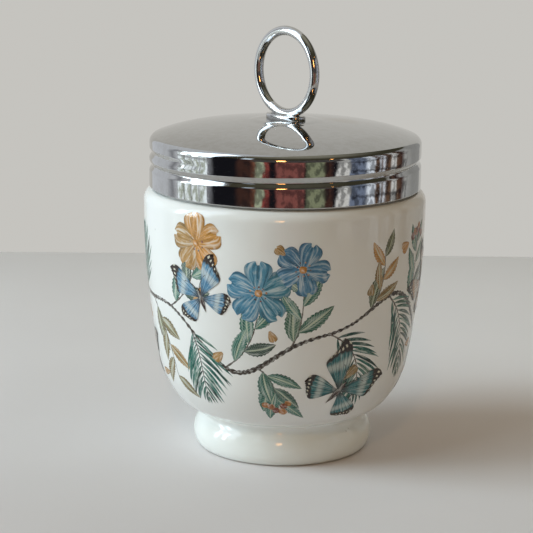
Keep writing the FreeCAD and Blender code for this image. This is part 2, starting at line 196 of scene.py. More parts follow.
# %% The cove: the tangents of foot and belly meet in the point that a Bezier curve bends round
up_foot, up_belly = heading(FOOT_TOP_ANGLE + 90), heading(bottom_angle - 90)
gap = belly[0] - foot_top[-1]
along_foot = np.linalg.det([gap, up_belly]) / np.linalg.det([up_foot, up_belly])
crease = foot_top[-1] + up_foot * along_foot
cove = bend(foot_top[-1], crease, belly[0], 10)
print(f"glaze in the crease bends at radius {crease[0]:.2f}, height {crease[1]:.2f} mm")

# %% The neck and the rim
neck_foot = NECK_RADIUS + NECK_ROOT_FILLET
fillet_top = SHOULDER_HEIGHT + NECK_ROOT_FILLET
rim_low = CUP_HEIGHT - RIM_ROUNDING
rim_outer, rim_inner = NECK_RADIUS - RIM_ROUNDING, BORE_RADIUS + RIM_ROUNDING
neck = joined(
    run(belly[-1], (neck_foot, SHOULDER_HEIGHT), 3),
    arc((neck_foot, fillet_top), NECK_ROOT_FILLET, 270, 180, 6),
    run((NECK_RADIUS, fillet_top), (NECK_RADIUS, rim_low), 70),
    arc((rim_outer, rim_low), RIM_ROUNDING, 0, 90, 6),
    run((rim_outer, CUP_HEIGHT), (rim_inner, CUP_HEIGHT), 2),
    arc((rim_inner, rim_low), RIM_ROUNDING, 90, 180, 6))
print("neck:", len(neck), "points")

# %% The inside: a straight bore that flares into a bowl
wall_radius = BELLY_SIDE_CURVE - BELLY_WALL
flare_top = CUP_HEIGHT - NECK_BORE_DEPTH
flare_angle = math.degrees(math.asin((flare_top - BORE_FLARE_DEPTH - side_centre[1]) / wall_radius))
flare_end = side_centre + wall_radius * heading(flare_angle)
bowl_start = side_centre + wall_radius * heading(side_angle)
bowl_radius = (bowl_start[1] - FLOOR_HEIGHT) / (1 + heading(side_angle)[1])
bowl_centre = (bowl_start[0] - bowl_radius * heading(side_angle)[0], FLOOR_HEIGHT + bowl_radius)
inside = joined(
    run(neck[-1], (BORE_RADIUS, flare_top), 5),
    bend((BORE_RADIUS, flare_top), (BORE_RADIUS, flare_top - BORE_FLARE_DEPTH / 2), flare_end, 12),
    arc(side_centre, wall_radius, flare_angle, side_angle, 20),
    arc(bowl_centre, bowl_radius, side_angle, -90, 24),
    run((bowl_centre[0], FLOOR_HEIGHT), (0, FLOOR_HEIGHT), 5))
cup_profile = joined(underside, foot_top, cove, belly, neck, inside)
print("cup profile:", len(cup_profile), "points")

# %% [markdown]
# ## From grid to mesh
# A grid of points becomes a mesh in one step: whole arrays of point numbers are shifted against each
# other to give the faces. A row that shrinks to one point becomes a pole, and a closed shape that came
# out inside out is turned by the sign of its volume.

# %% Grids of points
def circle(count):
    """Angles at equal steps once round."""
    return np.linspace(0, 2 * np.pi, count, endpoint=False)


def grid_of(x, y, z):
    """One grid of points out of three arrays that broadcast together."""
    return np.stack(np.broadcast_arrays(x, y, z), axis=-1)


def turned_grid(profile, turn, stand=0.0):
    """Turn a profile about the Z axis: (radius cos t, radius sin t, height) for the angles t called turn.
    stand is an extra radius, for the whole grid or for each of its points."""
    radius = profile[:, :1] + stand
    return grid_of(radius * np.cos(turn), radius * np.sin(turn), profile[:, 1:2])


def grid_faces(index, wrap_rows=False, wrap_columns=False):
    """Quads of a grid of point numbers, or of many grids: each joins a point, its next row, that one's
    next column, and its own next column."""
    if wrap_rows:
        index = np.concatenate([index, index[..., :1, :]], axis=-2)
    if wrap_columns:
        index = np.concatenate([index, index[..., :1]], axis=-1)
    return np.stack([index[..., :-1, :-1], index[..., 1:, :-1], index[..., 1:, 1:], index[..., :-1, 1:]],
                    axis=-1).reshape(-1, 4)


def volume_of(points, quads):
    """Signed volume: the sum of a.(b x c)/6 over the two triangles of each quad."""
    a, b, c, d = (points[quads[:, k]] for k in range(4))
    return (np.einsum("ij,ij->", a, np.cross(b, c)) + np.einsum("ij,ij->", a, np.cross(c, d))) / 6


print("a 3 x 3 grid has", len(grid_faces(np.arange(9).reshape(3, 3))), "faces")

# %% Objects
def finished(name, mesh):
    """An object at the origin that shows a mesh with smooth shading."""
    mesh.validate()
    mesh.shade_smooth()
    made = bpy.data.objects.new(name, mesh)
    bpy.context.scene.collection.objects.link(made)
    print(f"{name}: {len(mesh.vertices)} points, {len(mesh.polygons)} faces")
    return made


def skin(name, grid, wrap_rows=False, wrap_columns=True):
    """A closed, smooth mesh object from a grid of points in millimetres, rows by columns."""
    rows, columns = grid.shape[:2]
    index = np.arange(rows * columns).reshape(rows, columns)
    for row in (0, -1):
        if not wrap_rows and np.ptp(grid[row], axis=0).max() < TOUCHING:
            index[row] = index[row, 0]
    points = grid.reshape(-1, 3) * MM
    quads = grid_faces(index, wrap_rows, wrap_columns)
    if volume_of(points, quads) < 0:
        quads = quads[:, ::-1]
    used, compact = np.unique(quads, return_inverse=True)
    quads = compact.reshape(quads.shape)
    same = quads == np.roll(quads, -1, axis=1)
    faces = quads[~same.any(axis=1)].tolist()
    for side in range(4):
        faces += np.delete(quads[same[:, side]], side, axis=1).tolist()
    mesh = bpy.data.meshes.new(name)
    mesh.from_pydata(points[used].tolist(), [], faces)
    return finished(name, mesh)


def loop_points(mesh):
    """The point number of every face corner."""
    numbers = np.zeros(len(mesh.loops), dtype=np.int32)
    mesh.loops.foreach_get("vertex_index", numbers)
    return numbers


def dress(piece, body, slot, material, *nodes):
    """Give a piece its material and its body, and hide the nodes that it stands for. The slot is not used."""
    piece.data.materials.append(material)
    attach(piece, body)
    if nodes:
        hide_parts(*nodes)


print("mesh helpers ready")

# %% [markdown]
# ## Shader expressions
# A material is easier to read as a sum than as a net of boxes. Wire wraps one socket, so that
# `1 - mask * 0.3` adds the Math nodes by itself. Finish adds every other node: first its settings, then
# the values or links of its sockets.

# %% A socket that can be calculated with
def operator(operation, reflected=False):
    """A method that adds one Math node. Reflected, it is the one for a number on the left."""
    def method(self, other):
        return self.finish.math(operation, *((other, self) if reflected else (self, other)))
    return method


class Wire:
    """One output socket. An expression on it adds a Math node and gives a new Wire."""

    def __init__(self, finish, socket):
        self.finish = finish
        self.socket = socket

    __add__, __radd__ = operator("ADD"), operator("ADD", True)
    __sub__, __rsub__ = operator("SUBTRACT"), operator("SUBTRACT", True)
    __mul__, __rmul__ = operator("MULTIPLY"), operator("MULTIPLY", True)
    __truediv__, __rtruediv__ = operator("DIVIDE"), operator("DIVIDE", True)

    def __abs__(self):
        return self.finish.math("ABSOLUTE", self)


print("operators:", ", ".join(name for name in vars(Wire) if name.startswith("__r")))

# %% A tree of nodes
class Finish:
    """A node tree, and the steps that the finishes below share."""

    def __init__(self, name, owner=None):
        self.owner = owner or bpy.data.materials.new(name)
        self.owner.use_nodes = True
        self.tree = self.owner.node_tree
        self.tree.nodes.clear()

    def node(self, kind, settings=(), values=(), output=0):
        """Any node: its settings first, then the values or links of its sockets."""
        made = self.tree.nodes.new(kind)
        for name, value in dict(settings).items():
            if name == "stops":
                self.set_stops(made.color_ramp, value)
            else:
                setattr(made, name, value)
        for key, value in dict(values).items():
            if isinstance(value, Wire):
                self.tree.links.new(value.socket, made.inputs[key])
            else:
                made.inputs[key].default_value = value
        return Wire(self, made.outputs[output]) if made.outputs else made

    @staticmethod
    def set_stops(ramp, stops):
        while len(ramp.elements) < len(stops):
            ramp.elements.new(1.0)
        for element, (position, colour) in zip(ramp.elements, stops):
            element.position = position
            element.color = colour

    def math(self, operation, *values):
        return self.node("ShaderNodeMath", {"operation": operation}, enumerate(values))

    def vector(self, operation, first, second, output=0):
        return self.node("ShaderNodeVectorMath", {"operation": operation}, {0: first, 1: second}, output)

    def clamp(self, value):
        return self.node("ShaderNodeClamp", {}, {"Value": value})

    def place(self):
        return self.node("ShaderNodeTexCoord", output="Object")

    def axis(self, vector, name):
        return self.node("ShaderNodeSeparateXYZ", {}, {0: vector}, output=name)

    def noise(self, scale, detail=2.0, vector=None, roughness=0.5):
        values = {"Scale": scale, "Detail": detail, "Roughness": roughness, "Vector": vector or self.place()}
        return self.node("ShaderNodeTexNoise", {}, values)

    def cells(self, scale, vector):
        return self.node("ShaderNodeTexVoronoi", {}, {"Scale": scale, "Vector": vector})

    def step(self, value, low, high):
        """A soft step from 0 to 1 as value goes from low to high."""
        values = {"Value": value, "From Min": low, "From Max": high}
        return self.node("ShaderNodeMapRange", {"interpolation_type": "SMOOTHSTEP"}, values)

    def between(self, value, rise, fall):
        """A soft step up over the pair rise, times a soft step down over the pair fall."""
        return self.step(value, *rise) * (1 - self.step(value, *fall))

    def blend(self, share, first, second):
        """The colour first, turning into second as share goes from 0 to 1."""
        return self.node("ShaderNodeMix", {"data_type": "RGBA"}, {0: share, 6: first, 7: second}, output=2)

    def stretch(self, vector, scale):
        return self.vector("MULTIPLY", vector, scale)

    def bump(self, height, strength, depth_mm):
        values = {"Height": height, "Strength": strength, "Distance": depth_mm * MM}
        return self.node("ShaderNodeBump", {}, values)

    def principled(self, **values):
        """The surface shader, with its sockets named in small letters, and the end of the tree."""
        names = {key.replace("_", " ").title().replace("Ior", "IOR"): value for key, value in values.items()}
        shader = self.node("ShaderNodeBsdfPrincipled", {}, names)
        self.node("ShaderNodeOutputMaterial", {}, {"Surface": shader})
        return self.owner


def colour(red, green, blue):
    return (red, green, blue, 1.0)


print("shader helpers ready")

# %% [markdown]
# ## The screw thread
# The cap is pressed from thin sheet, and a wheel rolls the thread into its side: a round groove with soft
# lips that climbs 2.6 mm a turn. Inside it a raised bead of porcelain on the neck takes the screw. Both
# follow one helix, so one function gives the distance of every grid point from it, and a small formula
# of that distance gives the form. This is clearer, and smoother to light, than cutting with a modifier.

# %% The helix
THREAD_PITCH = 2.6
THREAD_START_ANGLE = -193.0
THREAD_START_HEIGHT = SHOULDER_HEIGHT + 4.2


def thread(height, turn, first_turn, sweep, fade, form):
    """How far a thread stands out of a side: form(distance above the helix), faded in and out at its two
    ends by half a cosine. The helix passes an angle once or twice, and the larger of its passes counts."""
    past_start = np.mod(np.degrees(turn) - THREAD_START_ANGLE - first_turn, 360.0)
    most = np.zeros(np.broadcast(height, turn).shape)
    for turns in range(math.ceil(sweep / 360.0)):
        along = past_start + 360.0 * turns
        from_end = np.clip(np.minimum(along, sweep - along) / fade, 0, 1)
        middle = THREAD_START_HEIGHT + THREAD_PITCH * (first_turn + along) / 360.0
        most = np.maximum(most, (0.5 - 0.5 * np.cos(np.pi * from_end)) * form(height - middle))
    return most


print(f"thread of {THREAD_PITCH} mm pitch from {THREAD_START_HEIGHT:.1f} mm up")

# %% The form of a groove
def rolled(floor, lip, slope, depth):
    """The form of a rolled groove: a round bottom, straight flanks that lean by slope and round lips, with
    floor and lip as radii. Returned as a function of the distance from its middle."""
    rise = 1 - math.cos(slope)
    flank = (depth - (floor + lip) * rise) / math.tan(slope)
    floor_half = floor * math.sin(slope)
    half = floor_half + flank + lip * math.sin(slope)
    print(f"groove {2 * half:.2f} mm wide, {depth} mm deep")

    def form(distance):
        away = np.abs(distance)
        bottom = depth - floor + np.sqrt(np.maximum(floor ** 2 - away ** 2, 0))
        side = depth - floor * rise - (away - floor_half) * math.tan(slope)
        shoulder = lip - np.sqrt(np.maximum(lip ** 2 - (half - away) ** 2, 0))
        zones = [away < floor_half, away < floor_half + flank, away < half]
        return np.select(zones, [bottom, side, shoulder], 0.0)
    return form


print("groove form ready")

# %% [markdown]
# ## The glaze
# The cup is cast and glazed, and the glaze is what the eye sees: it is a little greener on the foot, and it
# leaves bare clay on the ring that the cup stands on. The foot and the crease over it also carry painted
# light: they are coloured lighter, the crease in place of the shade it would show. Mirror smooth would look
# like plastic, so a fine ripple bends its reflections a little.

# %% Glazed porcelain
WHITE = colour(0.800, 0.805, 0.790)
CREASE_REACH = 1.1                  # mm over which the painted light fades beside the crease


def glazed_porcelain():
    """White glaze, a little greener on the foot, with painted light that makes the foot and the crease
    lighter, a fine ripple, rare specks, and bare matt clay on the ring that the cup stands on."""
    finish = Finish("glazed_porcelain")
    place = finish.place()
    height = finish.axis(place, "Z") / MM
    patchy = finish.noise(60, 3, place)
    cloud = finish.blend(patchy * 0.5, WHITE, colour(0.790, 0.780, 0.750))
    foot = 1 - finish.step(height, CREASE_HEIGHT - 1.0, CREASE_HEIGHT + 1.5)
    # Painted light: the foot is coloured lighter than the belly's glaze, besides a little greener.
    foot_tint_and_light = finish.blend(foot, cloud, colour(0.835, 0.855, 0.825))
    # Painted light: the crease over the foot is coloured lighter, in place of the shade it would show.
    crease_painted_light = (1 - finish.step(abs(height - CREASE_HEIGHT) / CREASE_REACH, 0.2, 1.6)) * 0.8
    crease_lightened = finish.blend(crease_painted_light, foot_tint_and_light, colour(0.900, 0.915, 0.890))
    chosen = finish.step(finish.noise(130, 1, place), 0.66, 0.70)
    speck = (1 - finish.step(finish.cells(420.0, place), 0.05, 0.10)) * chosen * 0.45
    specked = finish.blend(speck, crease_lightened, colour(0.330, 0.290, 0.240))
    bare = 1 - finish.step(height + (finish.noise(900, 2, place) - 0.5) * 0.25, 0.16, 0.26)
    clay = finish.blend(bare, specked, colour(0.640, 0.610, 0.560))
    ripple = finish.noise(170, 2, place) + finish.noise(2600, 2, place) * bare * 0.6
    return finish.principled(
        base_color=clay,
        roughness=0.055 + bare * 0.55 + patchy * 0.02,
        ior=1.55,
        normal=finish.bump(ripple, 0.25, 0.05))


porcelain = glazed_porcelain()
print("material:", porcelain.name)

# %% [markdown]
# ## The cup
# The profile is turned once round. On the neck the radius of every point grows by the height of the
# bead, so that thread and cup are one skin, as they are one cast piece.

# %% Cup with the bead of its thread
CUP_COLUMNS = 252
BEAD_RADIUS, BEAD_STAND = 0.6, 0.9
BEAD_BEGIN, BEAD_SWEEP, BEAD_FADE = -60.0, 400.0, 40.0      # degrees along the helix
NECK_MARGIN = 0.5


def bead_form(distance):
    """A round bead: a circle of BEAD_RADIUS whose middle lies BEAD_STAND - BEAD_RADIUS out of the neck."""
    half = np.sqrt(np.maximum(BEAD_RADIUS ** 2 - distance ** 2, 0))
    return np.where(half > 0, np.maximum(BEAD_STAND - BEAD_RADIUS + half, 0), 0)


cup_turn = circle(CUP_COLUMNS)
cup_radius, cup_height = cup_profile[:, :1], cup_profile[:, 1:2]
on_neck = ((cup_height > SHOULDER_HEIGHT + NECK_MARGIN) & (cup_height < CUP_HEIGHT - NECK_MARGIN)
           & (cup_radius > (BORE_RADIUS + NECK_RADIUS) / 2))
bead = thread(cup_height - THREAD_PITCH / 2, cup_turn, BEAD_BEGIN, BEAD_SWEEP, BEAD_FADE, bead_form)
cup = skin("glazed_cup", turned_grid(cup_profile, cup_turn, bead * on_neck))
dress(cup, "cup", "porcelain", porcelain, "porcelain_cup")

# %% [markdown]
# ## Chrome
# The cap is steel under chrome, so it is a mirror, and it shows its age in its roughness rather than in
# its colour: hairlines from wiping, a grey film where it isn't wiped, and the mark of a finger.

# %% Three chromes: on the cap, on the ring and inside the cap
MARK_PLACE = (5.4, 10.0, 0.0)
MARK_REACH = 5.5


def scratched(finish, place, scale, turned_by):
    """Hairline scratches that run one way: noise that is drawn out a hundred times along one axis."""
    laid = finish.node("ShaderNodeMapping", {}, {"Vector": place, "Rotation": (0.3, 0.2, turned_by)})
    drawn = finish.stretch(laid, (1.0, 0.012, 0.5))
    return finish.step(finish.noise(scale, 1, drawn), 0.66, 0.74)


def finger_mark(finish, place):
    """1 in a ragged patch beside the ring, counted in the plan of the crown, and 0 beyond its reach."""
    centre = tuple(at * MM for at in MARK_PLACE)
    away = finish.vector("DISTANCE", finish.stretch(place, (1.0, 1.0, 0.0)), centre, output="Value")
    ragged = away / MM + (finish.noise(210, 3, place) - 0.5) * 6
    return 1 - finish.step(ragged, 1.0, MARK_REACH)


def chrome(name, dullness, tone, wear=1.0, mark=0.0):
    """Polished chrome with hairline scratches, faint wiped smudges and a grey film where it isn't wiped.
    A share called mark sets how strongly a brownish finger mark shows beside the ring."""
    finish = Finish(name)
    place = finish.place()
    scratches = scratched(finish, place, 5200, 0.4) + scratched(finish, place, 4100, 1.9)
    wiped = finish.step(finish.noise(55, 4, place, 0.6), 0.48, 0.72)
    spots = finish.step(finish.noise(240, 3, place, 0.7), 0.66, 0.76)
    haze = finish.step(finish.noise(620, 3, place, 0.7), 0.40, 0.62) * 0.45
    bright = colour(tone, tone, 0.985 * tone)
    grey = colour(0.86 * tone, 0.845 * tone, 0.80 * tone)
    film = finish.blend(wiped * 0.35 + spots * 0.3 + haze, bright, grey)
    brownish = colour(0.80 * tone, 0.72 * tone, 0.60 * tone)
    return finish.principled(
        base_color=finish.blend(finger_mark(finish, place) * mark, film, brownish),
        metallic=1.0,
        roughness=dullness + wiped * 0.035 + scratches * 0.05 + spots * 0.10,
        normal=finish.bump(scratches * -wear + finish.noise(140, 2, place) * 0.6, 0.12, 0.01))


cap_chrome = chrome("cap_chrome", 0.045, 0.53, mark=0.7)
ring_chrome = chrome("ring_chrome", 0.07, 0.60, 0.3)
inside_chrome = chrome("inside_chrome", 0.30, 0.58)
print("materials:", cap_chrome.name, ring_chrome.name, inside_chrome.name)

# %% [markdown]
# ## The cap
# One thin sheet is pressed over a former: a crown that is a slice of a large sphere, a margin that bends
# down more tightly, a rolled corner, a side and a rolled rim. The profile goes once round the sheet, and
# the lips of the groove, the corner and the rim are drawn in by a little less than a tenth of a
# millimetre, as rolled sheet is. A mirror shows its curvature alone, so that is where reflections bend.

# %% Where the crown's arcs meet
CAP_SHEET, CAP_CORNER, CAP_HOLE = 0.4, 1.5, 1.6
CROWN_CURVE, MARGIN_CURVE, MARGIN_WIDTH = 145.0, 36.0, 6.7
BOSS_RADIUS, BOSS_SLOPE = 5.4, 2.6
CORNER_RADIUS = CAP_RADIUS - CAP_CORNER

margin_start = CORNER_RADIUS - MARGIN_WIDTH
start_lean = math.asin(margin_start / CROWN_CURVE)
margin_middle = margin_start - MARGIN_CURVE * math.sin(start_lean)
end_lean = math.asin((CORNER_RADIUS - margin_middle) / (MARGIN_CURVE - CAP_CORNER))
margin_base = -(MARGIN_CURVE - CAP_CORNER) * math.cos(end_lean)
dome_base = margin_base - (CROWN_CURVE - MARGIN_CURVE) * math.cos(start_lean)
CROWN_RISE = dome_base + CROWN_CURVE
SIDE_TOP = BOSS_TOP - CROWN_RISE
crown_end = CORNER_RADIUS + CAP_CORNER * math.sin(end_lean)
corner_end = 90 - math.degrees(end_lean)


def crown(radius):
    """Height of the crown's outside above the middle of its corner: a slice of a large sphere, a margin
    that bends down more tightly, and a flat for the ring's foot that melts into the slope."""
    dome = dome_base + np.sqrt(CROWN_CURVE ** 2 - radius ** 2)
    margin = margin_base + np.sqrt(MARGIN_CURVE ** 2 - (radius - margin_middle) ** 2)
    height = np.where(radius < margin_start, dome, margin)
    flat = np.clip((BOSS_RADIUS + BOSS_SLOPE - radius) / BOSS_SLOPE, 0, 1)
    return height + (CROWN_RISE - height) * flat ** 2 * (3 - 2 * flat)


print(f"crown rises {CROWN_RISE:.2f} mm over the corner, whose side begins at {SIDE_TOP:.2f} mm")

# %% Profile of the cap, from the hole in its middle over the crown, down the side and back inside
SLOPE_ROWS = np.arange(5.3, 8.2, 0.3)       # close rows where the flat melts into the crown

crown_radius = np.concatenate([np.linspace(CAP_HOLE, 5.0, 8), SLOPE_ROWS, np.linspace(8.5, crown_end, 46)])
crown_out = np.column_stack([crown_radius, SIDE_TOP + crown(crown_radius)])
rim_middle = (CAP_RADIUS - CAP_SHEET / 2, CAP_RIM_HEIGHT + CAP_SHEET / 2)
outside = joined(
    crown_out,
    arc((CORNER_RADIUS, SIDE_TOP), CAP_CORNER, corner_end, 0, 12),
    run((CAP_RADIUS, SIDE_TOP), (CAP_RADIUS, rim_middle[1]), 150))
rim_round = arc(rim_middle, CAP_SHEET / 2, 0, -180, 8)
within = joined(
    run(rim_round[-1], (CAP_RADIUS - CAP_SHEET, SIDE_TOP), 50),
    arc((CORNER_RADIUS, SIDE_TOP), CAP_CORNER - CAP_SHEET, 0, corner_end, 6),
    crown_out[::-2] - (0, CAP_SHEET))
cap_profile = joined(outside, rim_round, within)
print("cap profile:", len(cap_profile), "points")

# %% The rolled groove
CAP_COLUMNS = 216
FLOOR_RADIUS, LIP_RADIUS = 0.35, 0.7
FLANK_SLOPE = math.radians(31.0)
GROOVE_DEPTH = 0.52
GROOVE_SWEEP, GROOVE_FADE = 480.0, 50.0     # degrees along the helix

cap_turn = circle(CAP_COLUMNS)
cap_radius, cap_height = cap_profile[:, :1], cap_profile[:, 1:2]
row = np.arange(len(cap_profile))[:, None]
outer, with_rim = row < len(outside), row < len(outside) + len(rim_round)
on_side = (cap_radius > CAP_RADIUS - CAP_SHEET - 0.01) & (cap_height < SIDE_TOP)


def rolled_in(deeper):
    """The groove on the face that lies deeper mm inside the sheet's outer one: there the radius of its
    floor is larger by that much, and the radius of its lips smaller."""
    form = rolled(FLOOR_RADIUS + deeper, LIP_RADIUS - deeper, FLANK_SLOPE, GROOVE_DEPTH)
    return thread(cap_height, cap_turn, 0.0, GROOVE_SWEEP, GROOVE_FADE, form)


groove = np.where(outer, rolled_in(0.0), rolled_in(CAP_SHEET)) * on_side
print(f"deepest point {groove.max():.2f} mm")

# %% Cap, with the edges beside the groove drawn in
DRAWN_IN, DRAWN_FROM, DRAWN_REACH = 0.08, 1.0, 2.2
CROWN_REACH = 3.0


def drawn_in(distance):
    """How far the sheet beside the groove is drawn in: it dies away with distance."""
    return DRAWN_IN * np.exp(-np.maximum(np.abs(distance) - DRAWN_FROM, 0) / DRAWN_REACH)


def drawn_edges(height):
    """How far the sheet is drawn in by the rim and the corner: it dies away down and up the side, and
    goes on at the same slope round the corner."""
    over = np.clip(height - SIDE_TOP, 0, CAP_CORNER)
    under = np.maximum(SIDE_TOP - height, 0)
    return DRAWN_IN * (np.exp(-np.abs(height - CAP_RIM_HEIGHT) / DRAWN_REACH)
                       + np.exp(-under / DRAWN_REACH) + over / DRAWN_REACH)


drawn = thread(cap_height, cap_turn, 0.0, GROOVE_SWEEP, GROOVE_FADE, drawn_in) + drawn_edges(cap_height)
crown_share = np.exp(-np.maximum(crown_end - cap_radius, 0) / CROWN_REACH)
rim_share = np.clip((cap_radius - CAP_RADIUS) / CAP_SHEET + 1, 0, 1) * with_rim
pull = groove + drawn * np.where(outer, crown_share, rim_share)
cap = skin("chromed_cap", turned_grid(cap_profile, cap_turn, -pull), wrap_rows=True)
dress(cap, "cap", "cap_chrome", cap_chrome, "screw_cap")

# %% The inside of the cap isn't polished
cap.data.materials.append(inside_chrome)
face_points = loop_points(cap.data).reshape(-1, 4)
is_inside = face_points.min(axis=1) >= (len(outside) + len(rim_round)) * CAP_COLUMNS
cap.data.polygons.foreach_set("material_index", is_inside.astype(np.int32))
print("inside faces:", int(is_inside.sum()))

# %% [markdown]
# ## The ring
# A finger ring of round wire stands upright on the cap. Blender has a torus, but here the ring's box in
# the frame gives its sizes, so the circle of the wire is carried round a circle in arrays.

# %% Lift ring
RING_COLUMNS, WIRE_COLUMNS = 200, 40
wire = (RING_HIGH[1] - RING_LOW[1]) / 2
ring_middle = (RING_HIGH + RING_LOW) / 2
ring_mean = (RING_HIGH[0] - RING_LOW[0]) / 2 - wire
around, section = circle(RING_COLUMNS)[:, None], circle(WIRE_COLUMNS)[None, :]
ring_reach = ring_mean + wire * np.cos(section)
ring_grid = grid_of(ring_reach * np.sin(around), wire * np.sin(section),
                    ring_middle[2] - ring_reach * np.cos(around))
ring = skin("finger_ring", ring_grid, wrap_rows=True)
dress(ring, "cap", "ring_chrome", ring_chrome, "lift_ring")

# %% [markdown]
# ## The ring's foot
# The ring is soldered into a small oblong plate. The plate's spigot goes through the crown and is peened
# over a washer, as a rivet is, and the solder climbs a little up the wire. The plate is a stack of
# outlines that change from nearly square ends to a circle, and one formula gives them all.

# %% Outlines one over another
def stacked(length, width, power, height, columns):
    """Level outlines, one for each length, width and height: |x/length|^power + |y/width|^power = 1, which
    is an ellipse for a power of 2 and squarer above."""
    across, up = np.cos(circle(columns)), np.sin(circle(columns))
    x = np.outer(length, np.sign(across) * np.abs(across) ** (2 / power))
    y = np.outer(width, np.sign(up) * np.abs(up) ** (2 / power))
    return grid_of(x, y, np.reshape(height, (-1, 1)))


print("a stack of 3:", stacked((1, 2, 3), (1, 2, 3), 2, (0, 0, 1), 8).shape)

# %% Plate with its solder, spigot and peened end
FOOT_COLUMNS = 96
SQUARENESS = 2.6
SPIGOT_RADIUS, PEEN_RADIUS, PEEN_ROUNDING, PLATE_ROUNDING = 1.5, 2.4, 0.5, 0.3
SOLDER_HEIGHT, SOLDER_REACH, SOLDER_LENGTH = 0.62, 1.05, 3.9


def solder(x, y):
    """Height of the solder: a ridge under the wire that thins out towards its ends."""
    ends = np.clip(1 - (x / SOLDER_LENGTH) ** 2, 0, 1)
    return SOLDER_HEIGHT * ends * np.exp(-(y / SOLDER_REACH) ** 4)


half_length, half_width = ((PLATE_HIGH - PLATE_LOW) / 2)[:2]
plate_top, peen_low, shank_low = PLATE_HIGH[2], PLATE_LOW[2], BACKING_LOW[2]
share = np.linspace(0, 1 - PLATE_ROUNDING / half_width, 16)
top = stacked(half_length * share, half_width * share, SQUARENESS, plate_top, FOOT_COLUMNS)
top[..., 2] += solder(top[..., 0], top[..., 1])
lean = np.radians(np.linspace(75, 0, 6))
inset, drop = PLATE_ROUNDING * (1 - np.cos(lean)), PLATE_ROUNDING * (1 - np.sin(lean))
edge = stacked(half_length - inset, half_width - inset, SQUARENESS, plate_top - drop, FOOT_COLUMNS)
bottom = stacked(half_length, half_width, SQUARENESS, BOSS_TOP, FOOT_COLUMNS)
spigot = joined(
    [(SPIGOT_RADIUS, BOSS_TOP)],
    run((SPIGOT_RADIUS, BOSS_TOP - 0.05), (SPIGOT_RADIUS, shank_low), 4),
    run((SPIGOT_RADIUS + 0.1, shank_low), (PEEN_RADIUS, shank_low), 2),
    arc((PEEN_RADIUS - PEEN_ROUNDING, peen_low + PEEN_ROUNDING), PEEN_ROUNDING, 0, -90, 6),
    run((PEEN_RADIUS - PEEN_ROUNDING, peen_low), (0, peen_low), 5))
shank = stacked(spigot[:, 0], spigot[:, 0], 2.0, spigot[:, 1], FOOT_COLUMNS)
foot = skin("ring_plate", np.concatenate([top, edge, bottom, shank]))
dress(foot, "cap", "ring_chrome", ring_chrome, "ring_foot")

# %% [markdown]
# ## The two washers
# A soft washer seals the cap on the cup's rim, and a small steel one backs the peened spigot. Neither
# shows until the cap comes off, but then both do.

# %% Rubber and plain steel
def washer_rubber():
    """Pale grey rubber: matt, with a fine grain, a little yellowed in patches."""
    finish = Finish("washer_rubber")
    place = finish.place()
    aged, grain = finish.noise(120, 3, place), finish.noise(2600, 3, place)
    shade = finish.blend(aged, colour(0.46, 0.45, 0.42), colour(0.50, 0.46, 0.38))
    return finish.principled(
        base_color=finish.blend(grain * 0.3, shade, colour(0.34, 0.33, 0.31)),
        roughness=0.62 + grain * 0.15,
        normal=finish.bump(grain, 0.35, 0.03))


def washer_steel():
    """Plain steel that was stamped and tumbled: dull, with fine scratches and darker spots."""
    finish = Finish("washer_steel")
    place = finish.place()
    scratches = scratched(finish, place, 3600, 0.9) + scratched(finish, place, 3100, 2.6)
    spots = finish.noise(700, 4, place, 0.7)
    dark = finish.step(spots, 0.5, 0.75)
    return finish.principled(
        base_color=finish.blend(dark, colour(0.50, 0.49, 0.47), colour(0.30, 0.28, 0.26)),
        metallic=1.0,
        roughness=0.32 + spots * 0.2,
        normal=finish.bump(spots - scratches * 0.5, 0.3, 0.01))


rubber, steel = washer_rubber(), washer_steel()
print("materials:", rubber.name, steel.name)

# %% Two washers with rounded edges
WASHER_COLUMNS = 160
SEAL_INNER, SEAL_ROUNDING, SEAL_GAP = BORE_RADIUS - 0.4, 0.25, 0.048
BACKING_INNER, BACKING_ROUNDING = SPIGOT_RADIUS + 0.1, 0.12


def rounded_ring(inner, outer, low, high, rounding, leaves_at=90, top=()):
    """Profile of a flat ring with rounded corners. high gives its height at a radius, and a top that isn't
    level has points of its own, which the upper corners leave at a smaller angle."""
    inner, outer, low = inner + rounding, outer - rounding, low + rounding
    return joined(
        *top,
        arc((outer, high(outer) - rounding), rounding, leaves_at, 0, 4),
        arc((outer, low), rounding, 0, -90, 4),
        arc((inner, low), rounding, 270, 180, 4),
        arc((inner, high(inner) - rounding), rounding, 180, 180 - leaves_at, 4))


def moulded_top(radius):
    """The seal's top follows the crown's underside, a little below it."""
    return SIDE_TOP + crown(radius) - CAP_SHEET - SEAL_GAP


top_radius = np.linspace(SEAL_INNER + SEAL_ROUNDING + 0.05, SEAL_HIGH[0] - SEAL_ROUNDING - 0.05, 9)
seal_profile = rounded_ring(SEAL_INNER, SEAL_HIGH[0], SEAL_LOW[2], moulded_top, SEAL_ROUNDING, 75,
                            [np.column_stack([top_radius, moulded_top(top_radius)])])
seal = skin("rubber_seal", turned_grid(seal_profile, circle(WASHER_COLUMNS)), wrap_rows=True)
dress(seal, "seal", "seal_rubber", rubber, "sealing_washer")
backing_profile = rounded_ring(BACKING_INNER, BACKING_HIGH[0], BACKING_LOW[2], lambda radius: BACKING_HIGH[2],
                               BACKING_ROUNDING)
backing = skin("backing_washer", turned_grid(backing_profile, circle(WASHER_COLUMNS)), wrap_rows=True)
dress(backing, "cap", "washer_steel", steel, "ring_washer")

# %% [markdown]
# ## The garland
# A garland is printed all round the belly: a winding twig with leafy shoots, fern fronds, flowers, berries
# and butterflies. Each motif is a thin patch that is worked out flat, in millimetres across and along the
# belly, and then laid on the china. A patch is lens-shaped: its middle stands a few hundredths of a
# millimetre out of the glaze and its edge dips into it, so that no edge shows. An image texture would be
# the usual way to a print, but patches stay sharp at any distance and need no file.

